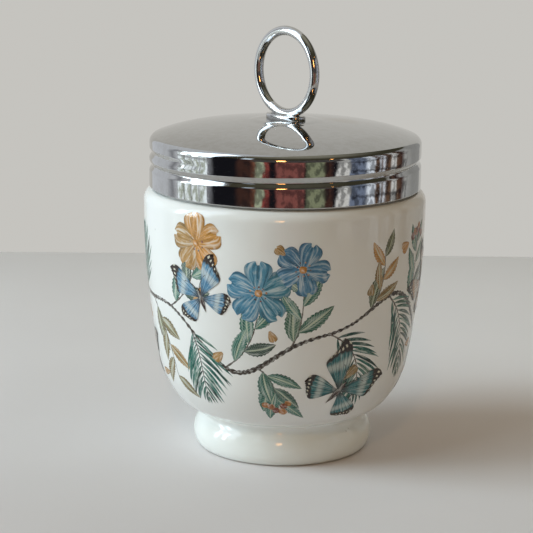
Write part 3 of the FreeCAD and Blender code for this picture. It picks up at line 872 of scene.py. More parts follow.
# %% Lay flat patches on the belly
BELLY_STEPS = np.concatenate([[0.0], np.cumsum(np.linalg.norm(np.diff(belly, axis=0), axis=1))])
BELLY_SLOPE = np.gradient(belly, BELLY_STEPS, axis=0)
WIDEST = float(np.interp(BELLY_HEIGHT, belly[:, 1], BELLY_STEPS))
RAISED, SUNK = 0.030, 0.022
LAYER = 0.006                       # how much higher each printed layer lies than the one before
FRONT = math.radians(-42.0)
draw = np.random.default_rng(11)


def belly_radius(along):
    return np.interp(along, BELLY_STEPS, belly[:, 0])


def on_belly(angle, across, along, lift):
    """A point across mm to the right of an angle and along mm up the belly from the crease, lifted along
    the normal: the radius and the height follow the belly's profile, the angle turns by across / radius."""
    radius, height = belly_radius(along), np.interp(along, BELLY_STEPS, belly[:, 1])
    rise, run_out = (np.interp(along, BELLY_STEPS, BELLY_SLOPE[:, k]) for k in (0, 1))
    turned_to = angle + across / radius
    out = radius + lift * run_out
    return grid_of(out * np.cos(turned_to), out * np.sin(turned_to), height - lift * rise)


def lens(edge_distance):
    """Lift of a patch: from -SUNK at its edge up to RAISED at 1, quickly at first."""
    return (RAISED + SUNK) * np.clip(edge_distance, 0, 1) ** 0.35 - SUNK


def per_patch(*values):
    """Values for every patch, each shaped (patch, 1, 1), so that it broadcasts over rows and columns."""
    return [np.reshape(value, (-1, 1, 1)) for value in np.broadcast_arrays(*values)]


def placed(angle, across, along, turned, form, order):
    """Turn flat patches, move them to their places and lay them on the belly. form is their x, y and lift,
    and a patch of a higher order lies over the others."""
    x, y, lift = form
    angle, across, along, turned, order = per_patch(angle, across, along, turned, order)
    turned_x = x * np.cos(turned) - y * np.sin(turned)
    turned_y = x * np.sin(turned) + y * np.cos(turned)
    return on_belly(angle, across + turned_x, along + turned_y, lift + order * LAYER)


print(f"belly is {BELLY_STEPS[-1]:.1f} mm along its profile, its widest line at {WIDEST:.1f} mm")

# %% One object out of many patches
def patch_grid(rows, columns):
    """u from 0 to 1 along the rows, and v from -1 to 1 across the columns."""
    return np.meshgrid(np.linspace(0, 1, rows), np.linspace(-1, 1, columns), indexing="ij")


def patchwork(name, patches, tone, material):
    """One object out of many grids (patch, row, column, xyz), with a UV map that runs 0 to 1 along the rows
    and across the columns of each patch, and a tone for each patch."""
    count, rows, columns = patches.shape[:3]
    quads = grid_faces(np.arange(count * rows * columns).reshape(count, rows, columns))
    mesh = bpy.data.meshes.new(name)
    mesh.from_pydata((patches.reshape(-1, 3) * MM).tolist(), [], quads.tolist())
    u, v = patch_grid(rows, columns)
    share = np.tile(np.column_stack([u.ravel(), (v.ravel() + 1) / 2]), (count, 1))
    mesh.uv_layers.new(name="patch").data.foreach_set("uv", share[quads.ravel()].ravel())
    tones = np.broadcast_to(np.ravel(tone), (count,)).astype(float)
    mesh.attributes.new("tone", "FLOAT", "POINT").data.foreach_set("value", np.repeat(tones, rows * columns))
    dress(finished(name, mesh), "cup", "porcelain", material)


print("patch helpers ready")

# %% [markdown]
# ## Forms of the motifs
# A print has few forms: a leaf, a petal, a wing, a dot and a line. Each is a formula over u, from its
# foot to its tip, and v, from its left edge to its right one, for many patches of different sizes at once.

# %% Leaf
def leaf(length, width, curl, serration=0.0, rows=29, columns=7, blunt=0.85):
    """A leaf: its midrib is a parabola that leaves the start straight and bends by curl, and its half-width
    is width/2 sin(pi u^blunt)^0.9, with nine fine teeth of the given size. Returns x, y and lift."""
    u, v = patch_grid(rows, columns)
    length, width, curl = per_patch(length, width, curl)
    lean = np.arctan(curl * u)
    half = width / 2 * np.sin(np.pi * u ** blunt) ** 0.9 + 0.012
    half = half * (1 + serration * np.abs(v) ** 3 * np.sin(2 * np.pi * 9 * u))
    x = length * u - v * half * np.sin(lean)
    y = length * curl * u ** 2 / 2 + v * half * np.cos(lean)
    return x, y, lens((1 - np.abs(v)) * np.minimum(1, 6 * np.minimum(u, 1 - u) + 0.1))


print("leaf of", leaf(1.0, 1.0, 0.0)[0].size, "points")

# %% Petal and wing: narrow at the foot, broad at the tip
def fan(u, v, width, foot, swell, tip):
    """y of a form that widens from a share called foot: width/2 (foot + (1-foot) sin(pi/2 u^swell))
    sqrt(1 - u^tip) to both sides."""
    widening = foot + (1 - foot) * np.sin(np.pi / 2 * u ** swell)
    return v * (width / 2 * widening * np.sqrt(np.clip(1 - (u * 0.985) ** tip, 0, 1)) + 0.01)


def fan_lift(u, v, ending):
    """Lift that falls to both sides and, over a short way, to the tip."""
    return lens((1 - np.abs(v)) * np.minimum(1, ending * (1 - u) + 0.05))


def petal(length, width, notch):
    """A petal, whose broad tip has a shallow notch in the middle and is a little wavy."""
    u, v = patch_grid(15, 9)
    length, width = per_patch(length, width)
    dent = 1 - notch * np.exp(-(v / 0.35) ** 2) * u ** 3 + 0.03 * np.cos(3.3 * np.pi * v) * u ** 4
    return length * u * dent, fan(u, v, width, 0.16, 0.9, 7), fan_lift(u, v, 7)


def wing(length, width, side):
    """A wing, drawn out by a fifth on its leading side, with a faintly scalloped edge."""
    u, v = patch_grid(21, 11)
    length, width, side = per_patch(length, width, side)
    x = length * u * (1 + 0.20 * side * v * u + 0.02 * np.cos(5 * np.pi * v) * u)
    return x, fan(u, v, width, 0.10, 1.2, 9), fan_lift(u, v, 8)


print("petal of", petal(1.0, 1.0, 0.1)[0].size, "points, wing of", wing(1.0, 1.0, 1.0)[0].size)

# %% Dot and ribbon
def disc(radius):
    """A round patch. A square grid is pressed into a disc by x = a sqrt(1 - b^2/2), y = b sqrt(1 - a^2/2)."""
    a, b = np.meshgrid(np.linspace(-1, 1, 9), np.linspace(-1, 1, 9), indexing="ij")
    x, y = a * np.sqrt(1 - b ** 2 / 2), b * np.sqrt(1 - a ** 2 / 2)
    radius, = per_patch(radius)
    return radius * x, radius * y, lens(np.sqrt(np.clip(1 - x ** 2 - y ** 2, 0, 1)))


def ribbon(angle, across, along, half, columns=5, order=0.0):
    """A strip along paths given as (path, step) arrays: each point goes off to the left and the right of
    the path by half its width."""
    angle, across, along, half = np.broadcast_arrays(angle, across, along, half)
    flat_x = angle * belly_radius(along).mean(axis=1, keepdims=True) + across
    step_x, step_y = np.gradient(flat_x, axis=1), np.gradient(along, axis=1)
    size = np.hypot(step_x, step_y) + 1e-9
    v = np.linspace(-1, 1, columns)
    aside_x = -(step_y / size * half)[..., None] * v
    aside_y = (step_x / size * half)[..., None] * v
    lift = lens(1 - np.abs(v)) + order * LAYER
    return on_belly(angle[..., None], across[..., None] + aside_x, along[..., None] + aside_y, lift)


def bezier_heading(points, share):
    """The direction in which Bezier curves run: the angle of (1-t)(control - start) + t(end - control)."""
    start, control, end = (points[..., k, None, :] for k in range(3))
    t = share[..., None]
    slope = (1 - t) * (control - start) + t * (end - control)
    return np.arctan2(slope[..., 1], slope[..., 0])


print("dot of", disc(1.0)[0].size, "points")

# %% [markdown]
# ## Paint
# A printed colour is never flat. Under a glass it shows brush streaks, thin places where the white comes
# through and a darker edge where the colour settled. One recipe gives every motif its own colours and
# streaks, and it reads each patch's UV map, so that veins and ribs follow the form.

# %% Marks of leaves and wings
BARK = (0.022, 0.012, 0.007)
PALE_VEIN, PALE_SPOT = colour(0.55, 0.60, 0.46), colour(0.72, 0.70, 0.58)
PALE_FIELD = colour(0.70, 0.74, 0.70)


def veins(finish, along, from_middle, strength):
    """A midrib, and side veins that lean towards the tip, as a share from 0 to 1."""
    midrib = (1 - finish.step(from_middle, 0.05, 0.17)) * strength
    waves = abs(finish.math("SINE", along * 44 - from_middle * 7))
    return finish.clamp(midrib + finish.step(waves, 0.93, 1.0) * strength * 0.7)


def wing_marks(finish, ground, along, over, from_middle, brush):
    """A wing's dark root, ribs and border, its pale middle field, and a row of pale spots in the border."""
    uneven = brush - 0.5
    ribs = finish.step(abs(finish.math("SINE", over * 18.85)), 0.30, 0.10)
    border = finish.step(along + from_middle * 0.10 + uneven * 0.1, 0.80, 0.88)
    root = finish.step(along + uneven * 0.2, 0.30, 0.08)
    dark = finish.math("MAXIMUM", finish.math("MAXIMUM", border, root * 0.8), ribs * 0.7)
    field = finish.step(along, 0.40, 0.56) * finish.step(along, 0.72, 0.60) * 0.55
    shaded = finish.blend(dark, finish.blend(field, ground, PALE_FIELD), colour(*BARK))
    row = finish.step(abs(along - 0.915), 0.036, 0.018)
    spots = row * finish.step(finish.math("SINE", over * 37.7), 0.1, 0.5)
    return finish.blend(spots * 0.9, shaded, PALE_SPOT)


print("marks ready")

# %% Printed colour
def painted(name, stops, streaks, vein=0.0, edge=0.5, banded=False):
    """Printed colour under a glossy glaze: the patch's tone picks a colour from stops, brush streaks run
    along the patch, thin places let the white through and the edge is darker. A vein may be lighter, and
    a banded patch has a dark root, ribs and border with pale spots, as a wing has."""
    finish = Finish(name)
    patch = finish.node("ShaderNodeUVMap", {"uv_map": "patch"})
    tone = finish.node("ShaderNodeAttribute", {"attribute_name": "tone"}, output="Fac")
    along, over = finish.axis(patch, "X"), finish.axis(patch, "Y")
    from_middle = abs(over - 0.5) * 2
    body = finish.node("ShaderNodeValToRGB", {"stops": stops}, {"Fac": tone})
    stretched = {"X": along * streaks[0], "Y": over * streaks[1], "Z": tone * 40}
    brush = finish.noise(1.0, 3, finish.node("ShaderNodeCombineXYZ", {}, stretched), 0.6)
    grain, wash = finish.noise(2600, 3, finish.place(), 0.6), finish.noise(520, 3, finish.place())
    light = finish.blend(finish.step(brush, 0.46, 0.70) * 0.55, body, colour(0.78, 0.80, 0.76))
    darker = finish.stretch(body, (0.22, 0.24, 0.26))
    deep = finish.blend(finish.step(brush, 0.52, 0.30) * 0.75, light, darker)
    rim = finish.step(from_middle + (grain - 0.5) * 0.3, 0.62, 1.0) * edge
    edged = finish.blend(rim, deep, finish.stretch(body, (0.30, 0.32, 0.34)))
    marked = finish.blend(veins(finish, along, from_middle, vein), edged, PALE_VEIN)
    if banded:
        marked = wing_marks(finish, marked, along, over, from_middle, brush)
    thin = finish.clamp(finish.step(wash, 0.60, 0.76) * 0.30 + finish.step(grain, 0.60, 0.72) * 0.25)
    return finish.principled(
        base_color=finish.blend(thin, marked, WHITE),
        roughness=0.10 + grain * 0.05,
        ior=1.52,
        normal=finish.bump(grain + brush, 0.12, 0.01))


def ladder(*tones):
    """Colour stops at equal steps from 0 to 1."""
    return tuple((place, colour(*tone)) for place, tone in zip(np.linspace(0, 1, len(tones)).tolist(), tones))


print("paint recipe ready")

# %% Six paints
TEAL, PINE, MOSS = (0.010, 0.145, 0.110), (0.004, 0.036, 0.028), (0.066, 0.088, 0.030)
SKY, SLATE, OCHRE = (0.085, 0.270, 0.450), (0.026, 0.066, 0.120), (0.620, 0.280, 0.055)
RUSSET, OAK = (0.200, 0.030, 0.016), (0.075, 0.040, 0.022)

leaf_paint = painted("leaf_paint", ladder(PINE, TEAL, TEAL, MOSS, OCHRE), (1.6, 5.5), vein=0.75)
blade_paint = painted("blade_paint", ladder(PINE, TEAL, MOSS), (2.5, 1.5), edge=0.25)
petal_paint = painted("petal_paint", ladder(SLATE, SKY, TEAL, OCHRE), (1.3, 9.0), edge=0.45)
disc_paint = painted("disc_paint", ladder(OCHRE, RUSSET, BARK), (2.0, 2.0), edge=0.2)
wing_paint = painted("wing_paint", ladder(TEAL, SKY, OCHRE), (1.5, 14.0), banded=True)
bark_paint = painted("bark_paint", ladder(BARK, OAK), (220.0, 2.2), edge=0.3)
print("paints:", ", ".join(paint.name for paint in bpy.data.materials if paint.name.endswith("_paint")))

# %% [markdown]
# ## The twig and its shoots
# One twig winds round the cup in two slow waves, and shoots leave it by turns upwards and downwards. They
# are worked out before any leaf, because everything else hangs on them. All that varies comes from one
# seeded generator, so the garland is the same at every run.

# %% The course of the twig and its shoots
TWIG_HEIGHT = 0.50 * WIDEST
TWIG_SWING, TWIG_WAVER = 6.2, 1.7
SHOOTS = 24
HIGHEST, LOWEST = WIDEST - 2.2, 5.6
SHOOT_KINDS = (0, 1, 3, 1, 2, 0, 1, 3, 0, 1, 0, 2)      # 0 flower, 1 fern, 2 berries, 3 ochre leaves


def twig_along(angle):
    """Height of the twig on the belly: two slow waves round the cup."""
    return (TWIG_HEIGHT + TWIG_SWING * np.sin(3 * (angle - FRONT) - 0.75)
            + TWIG_WAVER * np.sin(7 * (angle - FRONT) + 1.2))


number = np.arange(SHOOTS)
shoot_kind = np.resize(SHOOT_KINDS, SHOOTS)
shoot_angle = FRONT + 2 * np.pi * (number + 0.25 + draw.uniform(-0.14, 0.14, SHOOTS)) / SHOOTS
shoot_up = np.where(number % 2 == 0, 1.0, -1.0)
shoot_start = twig_along(shoot_angle)
room = np.where(shoot_up > 0, HIGHEST - shoot_start, shoot_start - LOWEST) - 2.5
shoot_rise = shoot_up * np.clip(room, 5.0, 18.0) * draw.uniform(0.86, 1.0, SHOOTS)
shoot_lean = draw.uniform(2.0, 8.0, SHOOTS)
shoot_curve = np.stack([
    np.column_stack([np.zeros(SHOOTS), shoot_start]),
    np.column_stack([shoot_lean * 1.15, shoot_start + shoot_rise * 0.30]),
    np.column_stack([shoot_lean * draw.uniform(0.75, 1.35, SHOOTS), shoot_start + shoot_rise])], axis=1)
print("shoots:", SHOOTS, "of kinds", np.bincount(shoot_kind))

# %% Twig and shoots
TWIG_STEPS, SHOOT_STEPS = 900, 40

twig_angle = FRONT + np.pi + np.linspace(0, 2 * np.pi, TWIG_STEPS)
strokes = (0.5 + 0.5 * np.sin(twig_angle * 150.0 + 1.3 * np.sin(twig_angle * 31.0))) ** 0.6
twig_half = 0.34 + 0.24 * strokes + 0.12 * np.sin(5 * twig_angle)
twig = ribbon(twig_angle[None], 0.0, twig_along(twig_angle)[None], twig_half[None], order=1)
patchwork("garland_twig", twig, 0.25, bark_paint)

share = np.linspace(0, 1, SHOOT_STEPS)
course = bezier(shoot_curve, share)
taper = 0.26 * (1 - 0.66 * share) * (1 + 0.28 * np.sin(share * 62.0 + number[:, None]))
shoots = ribbon(shoot_angle[:, None], course[..., 0], course[..., 1], taper)
patchwork("garland_shoots", shoots, draw.uniform(0, 1, SHOOTS), bark_paint)

# %% [markdown]
# ## Leaves and fronds
# The leafy shoots carry toothed leaves on changing sides, and a leaf that would leave the belly is left
# out. A fern frond is the same leaf, drawn very narrow and set in close pairs that shrink towards its tip.

# %% Leaves
LEAVES_EACH = 6
LEAF_LENGTHS, LEAF_WIDTHS, LEAF_CURLS = (6.2, 9.2), (0.34, 0.44), (0.15, 0.5)

leafy = np.flatnonzero(shoot_kind != 1)
shape = (len(leafy), LEAVES_EACH)
leaf_share = np.linspace(0.16, 0.94, LEAVES_EACH) + draw.uniform(-0.03, 0.03, shape)
leaf_side = np.where((np.arange(LEAVES_EACH) + leafy[:, None]) % 2 == 0, 1.0, -1.0)
leaf_foot = bezier(shoot_curve[leafy], leaf_share)
leaf_turn = bezier_heading(shoot_curve[leafy], leaf_share) + leaf_side * draw.uniform(0.55, 0.95, shape)
leaf_length = draw.uniform(*LEAF_LENGTHS, shape) * (1.12 - 0.35 * leaf_share)
ends_up = leaf_foot[..., 1] + leaf_length * np.sin(leaf_turn)
fits = (ends_up < HIGHEST + 0.6) & (ends_up > LOWEST - 1.0)
ochre_tone, green_tone = draw.uniform(0.72, 1.0, shape), draw.uniform(0.0, 0.62, shape)
leaf_tone = np.where(shoot_kind[leafy][:, None] == 3, ochre_tone, green_tone)
leaf_angle = np.broadcast_to(shoot_angle[leafy][:, None], shape)
count = int(fits.sum())
form = leaf(leaf_length[fits], leaf_length[fits] * draw.uniform(*LEAF_WIDTHS, count),
            -leaf_side[fits] * draw.uniform(*LEAF_CURLS, count), serration=0.10)
leaves = placed(leaf_angle[fits], leaf_foot[fits][:, 0], leaf_foot[fits][:, 1], leaf_turn[fits], form,
                2 + np.arange(count) % 5)
patchwork("garland_leaves", leaves, leaf_tone[fits], leaf_paint)

# %% Fern fronds
PAIRS = 15

ferns = np.flatnonzero(shoot_kind == 1)
shape = (len(ferns), 2 * PAIRS)
fern_share = np.repeat(np.linspace(0.10, 0.99, PAIRS), 2)
fern_side = np.tile([1.0, -1.0], PAIRS)
fern_foot = bezier(shoot_curve[ferns], fern_share)
fern_spread = draw.uniform(0.72, 0.98, shape) * (1 - 0.62 * fern_share ** 5)
fern_turn = bezier_heading(shoot_curve[ferns], fern_share) + fern_side * fern_spread
swelling = 7.6 * np.sin(np.pi * (0.18 + 0.80 * fern_share)) ** 0.8 + 0.8
fern_length = swelling * draw.uniform(0.88, 1.1, shape)
fern_width = np.clip(0.20 + 0.11 * fern_length, 0.30, 0.80)
form = leaf(fern_length, fern_width, -0.45 * fern_side, rows=17, columns=5)
fronds = placed(shoot_angle[ferns][:, None], fern_foot[..., 0], fern_foot[..., 1], fern_turn, form,
                1 + np.arange(fern_length.size).reshape(shape) % 3)
patchwork("garland_fronds", fronds, draw.uniform(0, 0.75, shape), blade_paint)

# %% [markdown]
# ## Flowers and berries
# Some shoots end in a flower of five petals round a dark centre with stamens, others in a fan of berries
# on short stalks. The petals lie over each other in turn, so each has its own layer.

# %% Petals
PETALS = 5
FLOWER_SIZES = (5.4, 6.8)
FLOWER_TONES = (0.22, 0.95, 0.45, 0.10, 0.80)

flowering = np.flatnonzero(shoot_kind == 0)
flower_x, flower_y = shoot_curve[flowering, 2, :1], shoot_curve[flowering, 2, 1:]
flower_angle = shoot_angle[flowering][:, None]
shape = (len(flowering), PETALS)
flower_size = draw.uniform(*FLOWER_SIZES, (len(flowering), 1))
flower_turn = draw.uniform(0, 2 * np.pi, (len(flowering), 1))
form = petal(np.broadcast_to(flower_size, shape), flower_size * 0.98, 0.16)
petal_turn = flower_turn + np.arange(PETALS) * 2 * np.pi / PETALS + draw.uniform(-0.08, 0.08, shape)
petals = placed(flower_angle, flower_x, flower_y, petal_turn, form, 8 + np.arange(PETALS))
petal_tone = np.resize(FLOWER_TONES, len(flowering))[:, None] + draw.uniform(-0.06, 0.06, shape)
patchwork("garland_petals", petals, np.clip(petal_tone, 0, 1), petal_paint)

# %% Centres and stamens
STAMENS = 9
CENTRE_RADIUS, CENTRE_ORDER = 0.86, 14

spoke = flower_turn + 0.3 + np.arange(STAMENS) * 2 * np.pi / STAMENS
reach = draw.uniform(1.25, 1.75, spoke.shape)
form = disc(np.full(len(flowering), CENTRE_RADIUS))
middles = placed(flower_angle, flower_x, flower_y, 0.0, form, CENTRE_ORDER)
stamens = placed(flower_angle, flower_x + reach * np.cos(spoke), flower_y + reach * np.sin(spoke), 0.0,
                 disc(draw.uniform(0.17, 0.26, spoke.shape)), CENTRE_ORDER)
tones = np.concatenate([np.full(len(flowering), 0.08), draw.uniform(0, 1, spoke.size)])
patchwork("garland_centres", np.concatenate([middles, stamens]), tones, disc_paint)

# %% Berries and their stalks
BERRIES = 6
BERRY_RADII, BERRY_ORDER = (0.72, 1.02), 7
STALK_HALF = 0.10

berried = np.flatnonzero(shoot_kind == 2)
shape = (len(berried), BERRIES)
draw.uniform(0, 0.5, shape)         # unused, but it keeps every later draw where it is
reach = draw.uniform(2.0, 3.6, shape)
fan_turn = bezier_heading(shoot_curve[berried], np.array([0.9])) + (np.arange(BERRIES) - 2.5) * 0.42
root = bezier(shoot_curve[berried], np.array([0.92]))
berry = root + reach[..., None] * np.stack([np.cos(fan_turn), np.sin(fan_turn)], axis=-1)
berry_angle = np.broadcast_to(shoot_angle[berried][:, None], shape)
form = disc(draw.uniform(*BERRY_RADII, shape))
berries = placed(berry_angle, berry[..., 0], berry[..., 1], 0.0, form, BERRY_ORDER)
patchwork("garland_berries", berries, draw.uniform(0.15, 0.62, shape), disc_paint)

stalk = (root[..., None, :] + (berry - root)[..., None, :] * np.linspace(0, 1, 9)[:, None]).reshape(-1, 9, 2)
stalks = ribbon(berry_angle.reshape(-1, 1), stalk[..., 0], stalk[..., 1], STALK_HALF, columns=3)
patchwork("garland_stalks", stalks, draw.uniform(0, 1, shape), bark_paint)

# %% [markdown]
# ## Butterflies and loose petals
# Butterflies fill the wide gaps beside the twig: two fore wings and two hind wings from one form, a body
# that is a blunt leaf, and feelers that are ribbons with a knob. Loose petals drift between the shoots.

# %% Wings
FLIES = 6
FLY_TONES = (0.15, 0.85, 0.5)
WING_SPREAD = np.array([0.78, 2.05, -0.78, -2.05])      # turned from the body: fore, hind, fore, hind
FORE_WING, HIND_WING = (8.6, 6.0, 1.0), (6.4, 5.6, 0.4)     # length, width and how far it is drawn out
WING_ROOT, WING_ORDER = 0.35, 16
FLY_UNDER, FLY_OVER = 13.5, 10.5    # how far from the twig one flies, under or over it

fly_angle = FRONT + 2 * np.pi * (np.arange(FLIES) + 0.36) / FLIES + draw.uniform(-0.10, 0.10, FLIES)
twig_there = twig_along(fly_angle)
fly_along = twig_there + np.where(twig_there > TWIG_HEIGHT, -FLY_UNDER, FLY_OVER)
fly_turn = np.pi / 2 + draw.uniform(-0.9, 0.9, FLIES)
fly_size = draw.uniform(0.90, 1.12, FLIES)
is_fore = np.abs(WING_SPREAD) < 1
length, width, drawn_out = (np.where(is_fore, fore, hind) for fore, hind in zip(FORE_WING, HIND_WING))
wing_turn = fly_turn[:, None] + WING_SPREAD
form = wing(fly_size[:, None] * length, fly_size[:, None] * width, -np.sign(WING_SPREAD) * drawn_out)
wings = placed(fly_angle[:, None], WING_ROOT * np.cos(wing_turn),
               fly_along[:, None] + WING_ROOT * np.sin(wing_turn), wing_turn, form, WING_ORDER + 2 * is_fore)
wing_tone = np.resize(FLY_TONES, FLIES)[:, None] + draw.uniform(-0.04, 0.04, wing_turn.shape)
patchwork("garland_wings", wings, wing_tone, wing_paint)

# %% Bodies and feelers
BODY_ORDER = 20
FEELER_STEPS = 13

form = leaf(5.6 * fly_size, 1.25 * fly_size, 0.0, rows=17, columns=5, blunt=1.25)
behind = -3.3 * fly_size
bodies = placed(fly_angle, behind * np.cos(fly_turn), fly_along + behind * np.sin(fly_turn), fly_turn, form,
                BODY_ORDER)
patchwork("garland_bodies", bodies, 0.95, disc_paint)

pair = np.repeat(np.arange(FLIES), 2)
out = np.linspace(0, 1, FEELER_STEPS)
feeler_turn = fly_turn[pair][:, None] + np.tile([1.0, -1.0], FLIES)[:, None] * (0.18 + 0.42 * out)
reach = (2.0 + 3.4 * out) * fly_size[pair][:, None]
feelers = ribbon(fly_angle[pair][:, None], reach * np.cos(feeler_turn),
                 fly_along[pair][:, None] + reach * np.sin(feeler_turn), 0.07 + 0.12 * (out > 0.85),
                 columns=3, order=BODY_ORDER)
patchwork("garland_feelers", feelers, 0.0, bark_paint)

# %% Loose petals
LOOSE = 22
DRIFT_ORDER = 6

form = petal(draw.uniform(2.4, 4.2, LOOSE), draw.uniform(2.0, 3.2, LOOSE), 0.10)
drift_angle = FRONT + 2 * np.pi * (np.arange(LOOSE) + draw.uniform(0, 0.8, LOOSE)) / LOOSE
drift_along = draw.uniform(LOWEST + 2, HIGHEST - 3, LOOSE)
drift = placed(drift_angle, 0.0, drift_along, draw.uniform(0, 6.28, LOOSE), form, DRIFT_ORDER)
patchwork("garland_drift", drift, draw.uniform(0.82, 1.0, LOOSE), petal_paint)

# %% [markdown]
# ## Camera
# A long lens from some way off keeps the proportions of a small thing honest, where a wide one from close
# by would swell the cap. The camera's turn is built from three unit vectors: right, up and backward.

# %% Camera
VIEW_AZIMUTH, VIEW_ELEVATION, VIEW_ROLL = 48.0, 12.5, 0.58
VIEW_DISTANCE = 392.0
AIM_ASIDE, AIM_HEIGHT = -3.66, 38.0
FOCAL_PIXELS, FRAME_PIXELS = 1870.0, 533.0
SENSOR = 36.0

azimuth, elevation, roll = (math.radians(a) for a in (VIEW_AZIMUTH, VIEW_ELEVATION, VIEW_ROLL))
level_right = Vector((math.cos(azimuth), math.sin(azimuth), 0))
backward = Vector((math.sin(azimuth) * math.cos(elevation), -math.cos(azimuth) * math.cos(elevation),
                   math.sin(elevation)))
level_up = backward.cross(level_right)
right = level_right * math.cos(roll) + level_up * math.sin(roll)
up = level_up * math.cos(roll) - level_right * math.sin(roll)
aim = level_right * AIM_ASIDE + Vector((0, 0, AIM_HEIGHT))
camera = bpy.data.objects.new("camera", bpy.data.cameras.new("camera"))
camera.data.sensor_width = SENSOR
camera.data.lens = FOCAL_PIXELS / FRAME_PIXELS * SENSOR
camera.data.clip_start = 0.01
camera.matrix_world = (Matrix.Translation((aim + backward * VIEW_DISTANCE) * MM)
                       @ Matrix((right, up, backward)).transposed().to_4x4())
bpy.context.scene.collection.objects.link(camera)
bpy.context.scene.camera = camera
bpy.context.scene.view_settings.view_transform = "Standard"
print(f"lens {camera.data.lens:.1f} mm at {VIEW_DISTANCE} mm")

# %% [markdown]
# ## The room
# The camera and the metal see a plain wall, while the object is lit by a warmer and dimmer fill, as in a
# room where most light comes from one window. The world tells them apart by the kind of ray.

# %% Surroundings
WALL = colour(0.560, 0.550, 0.520)
ROOM_FILL = colour(0.278, 0.234, 0.174)


def surroundings():
    """A plain wall for the camera, glossy and transmission rays, and a warm even fill for the rest."""
    world = bpy.data.worlds.new("surroundings")
    finish = Finish("surroundings", world)
    camera_ray, glossy_ray, through_ray = (finish.node("ShaderNodeLightPath", output=f"Is {kind} Ray")
                                           for kind in ("Camera", "Glossy", "Transmission"))
    seen = finish.clamp(camera_ray + glossy_ray + through_ray)
    wall = finish.node("ShaderNodeBackground", {}, {"Color": WALL})
    fill = finish.node("ShaderNodeBackground", {}, {"Color": ROOM_FILL})
    both = finish.node("ShaderNodeMixShader", {}, {0: seen, 1: fill, 2: wall})
    finish.node("ShaderNodeOutputWorld", {}, {"Surface": both})
    return world


bpy.context.scene.world = surroundings()
print("world:", bpy.context.scene.world.name)

# %% [markdown]
# ## Light
# White china shows its form by a broad cool light from one side and a warmer, dimmer room on the other:
# six dim window panes with bright sky above, a window far behind, and a small warm lamp over the camera.
# A lamp that small leaves only a speck on a glossy glaze, so the lamps that light and the panels that
# glint are kept apart: the first aren't seen in reflections, and the second light nothing.

# %% A lamp at a direction from the camera
def around_view(degrees, distance, height):
    """A place in millimetres, at an angle to the right of the camera's direction as seen from the object."""
    angle = azimuth + math.radians(degrees)
    return Vector((math.sin(angle) * distance, -math.cos(angle) * distance, height))


def aimed_light(name, place, size, radiance, tint, hidden_from, target=Vector((0, 0, 40))):
    """A rectangular lamp that faces a point. Its power is radiance x pi x area."""
    lamp = bpy.data.lights.new(name, "AREA")
    lamp.shape = "RECTANGLE"
    lamp.size, lamp.size_y = size[0] * MM, size[1] * MM
    lamp.energy = radiance * math.pi * lamp.size * lamp.size_y
    lamp.color = tint
    holder = bpy.data.objects.new(name, lamp)
    holder.location = place * MM
    holder.rotation_euler = (place - target).to_track_quat("Z", "Y").to_euler()
    setattr(holder, f"visible_{hidden_from}", False)
    bpy.context.scene.collection.objects.link(holder)


print("right of the view:", around_view(90, 1, 0))

# %% Window, sky, lamp and glints
WINDOW_ANGLE, WINDOW_DISTANCE = -84.0, 900.0
PANE, PANE_PITCH = (250.0, 240.0), 284.0
PANE_RADIANCE = ((-40.0, 4.6), (230.0, 6.2), (500.0, 11.2))      # height of a row of panes, its radiance
DAYLIGHT, LAMPLIGHT, EMBER = (0.76, 0.92, 1.0), (1.0, 0.66, 0.36), (1.0, 0.44, 0.12)
LAMPS = (                           # name, (degrees, distance, height), size, radiance, tint, hidden from
    ("sky", (-66, 620, 880), (620, 330), 5.0, DAYLIGHT, "glossy"),
    ("warm_lamp", (-5, 700, 600), (26, 26), 225.0, LAMPLIGHT, "glossy"),
    ("lamp_globe", (-4, 860, 330), (105, 200), 11.0, EMBER, "diffuse"),
    ("pane_glint", (-93, 880, 260), (100, 420), 9.0, DAYLIGHT, "diffuse"),
    ("pane_glint", (-80, 880, 260), (100, 420), 9.0, DAYLIGHT, "diffuse"),
    ("far_window", (150, 800, 520), (520, 320), 1.6, DAYLIGHT, "glossy"),
    ("warm_spot", (42, 760, 590), (34, 40), 11.0, EMBER, "diffuse"))

along_window = around_view(WINDOW_ANGLE + 90, 1.0, 0.0)
for aside in (along_window * side * PANE_PITCH for side in (-0.5, 0.5)):
    for height, radiance in PANE_RADIANCE:
        place = around_view(WINDOW_ANGLE, WINDOW_DISTANCE, height) + aside
        aimed_light("window_pane", place, PANE, radiance, DAYLIGHT, "glossy", aside)
for name, place, *look in LAMPS:
    aimed_light(name, around_view(*place), *look)
print("lamps:", len(bpy.data.lights))

# %% [markdown]
# ## The board
# The cup stands on a pale matt board. It is one more stack of outlines, nearly square, and turned to the
# view so that its far edge lies level.

# %% Board
BOARD_HALF, BOARD_SQUARENESS, BOARD_COLUMNS = 190.0, 6.0, 96
BOARD_ROWS = (                      # share of the width, height
    (0.0, 0.0), (0.3, 0.0), (0.995, 0.0), (1.0, -1.0), (0.99, -8.0), (0.0, -8.0))


def board_finish():
    """Pale matt board with a faint, broad mottle, and painted light: it is lighter towards its far right
    corner.
    """
    finish = Finish("board")
    place = finish.place()
    aside = level_right * 0.6 - Vector((backward.x, backward.y, 0)) * 0.8
    far = finish.vector("DOT_PRODUCT", place, tuple(aside), output="Value")
    # Painted light: the board is coloured lighter towards its far right corner, where the lamps leave it
    # dimmer; the noise is a faint mottle.
    mottle_and_painted_light = finish.noise(14, 3, place) * 0.3 + finish.step(far / (BOARD_HALF * MM), -0.6, 1.0) * 0.9
    return finish.principled(
        base_color=finish.blend(mottle_and_painted_light, colour(0.600, 0.566, 0.566), colour(0.830, 0.800, 0.790)),
        roughness=0.85)


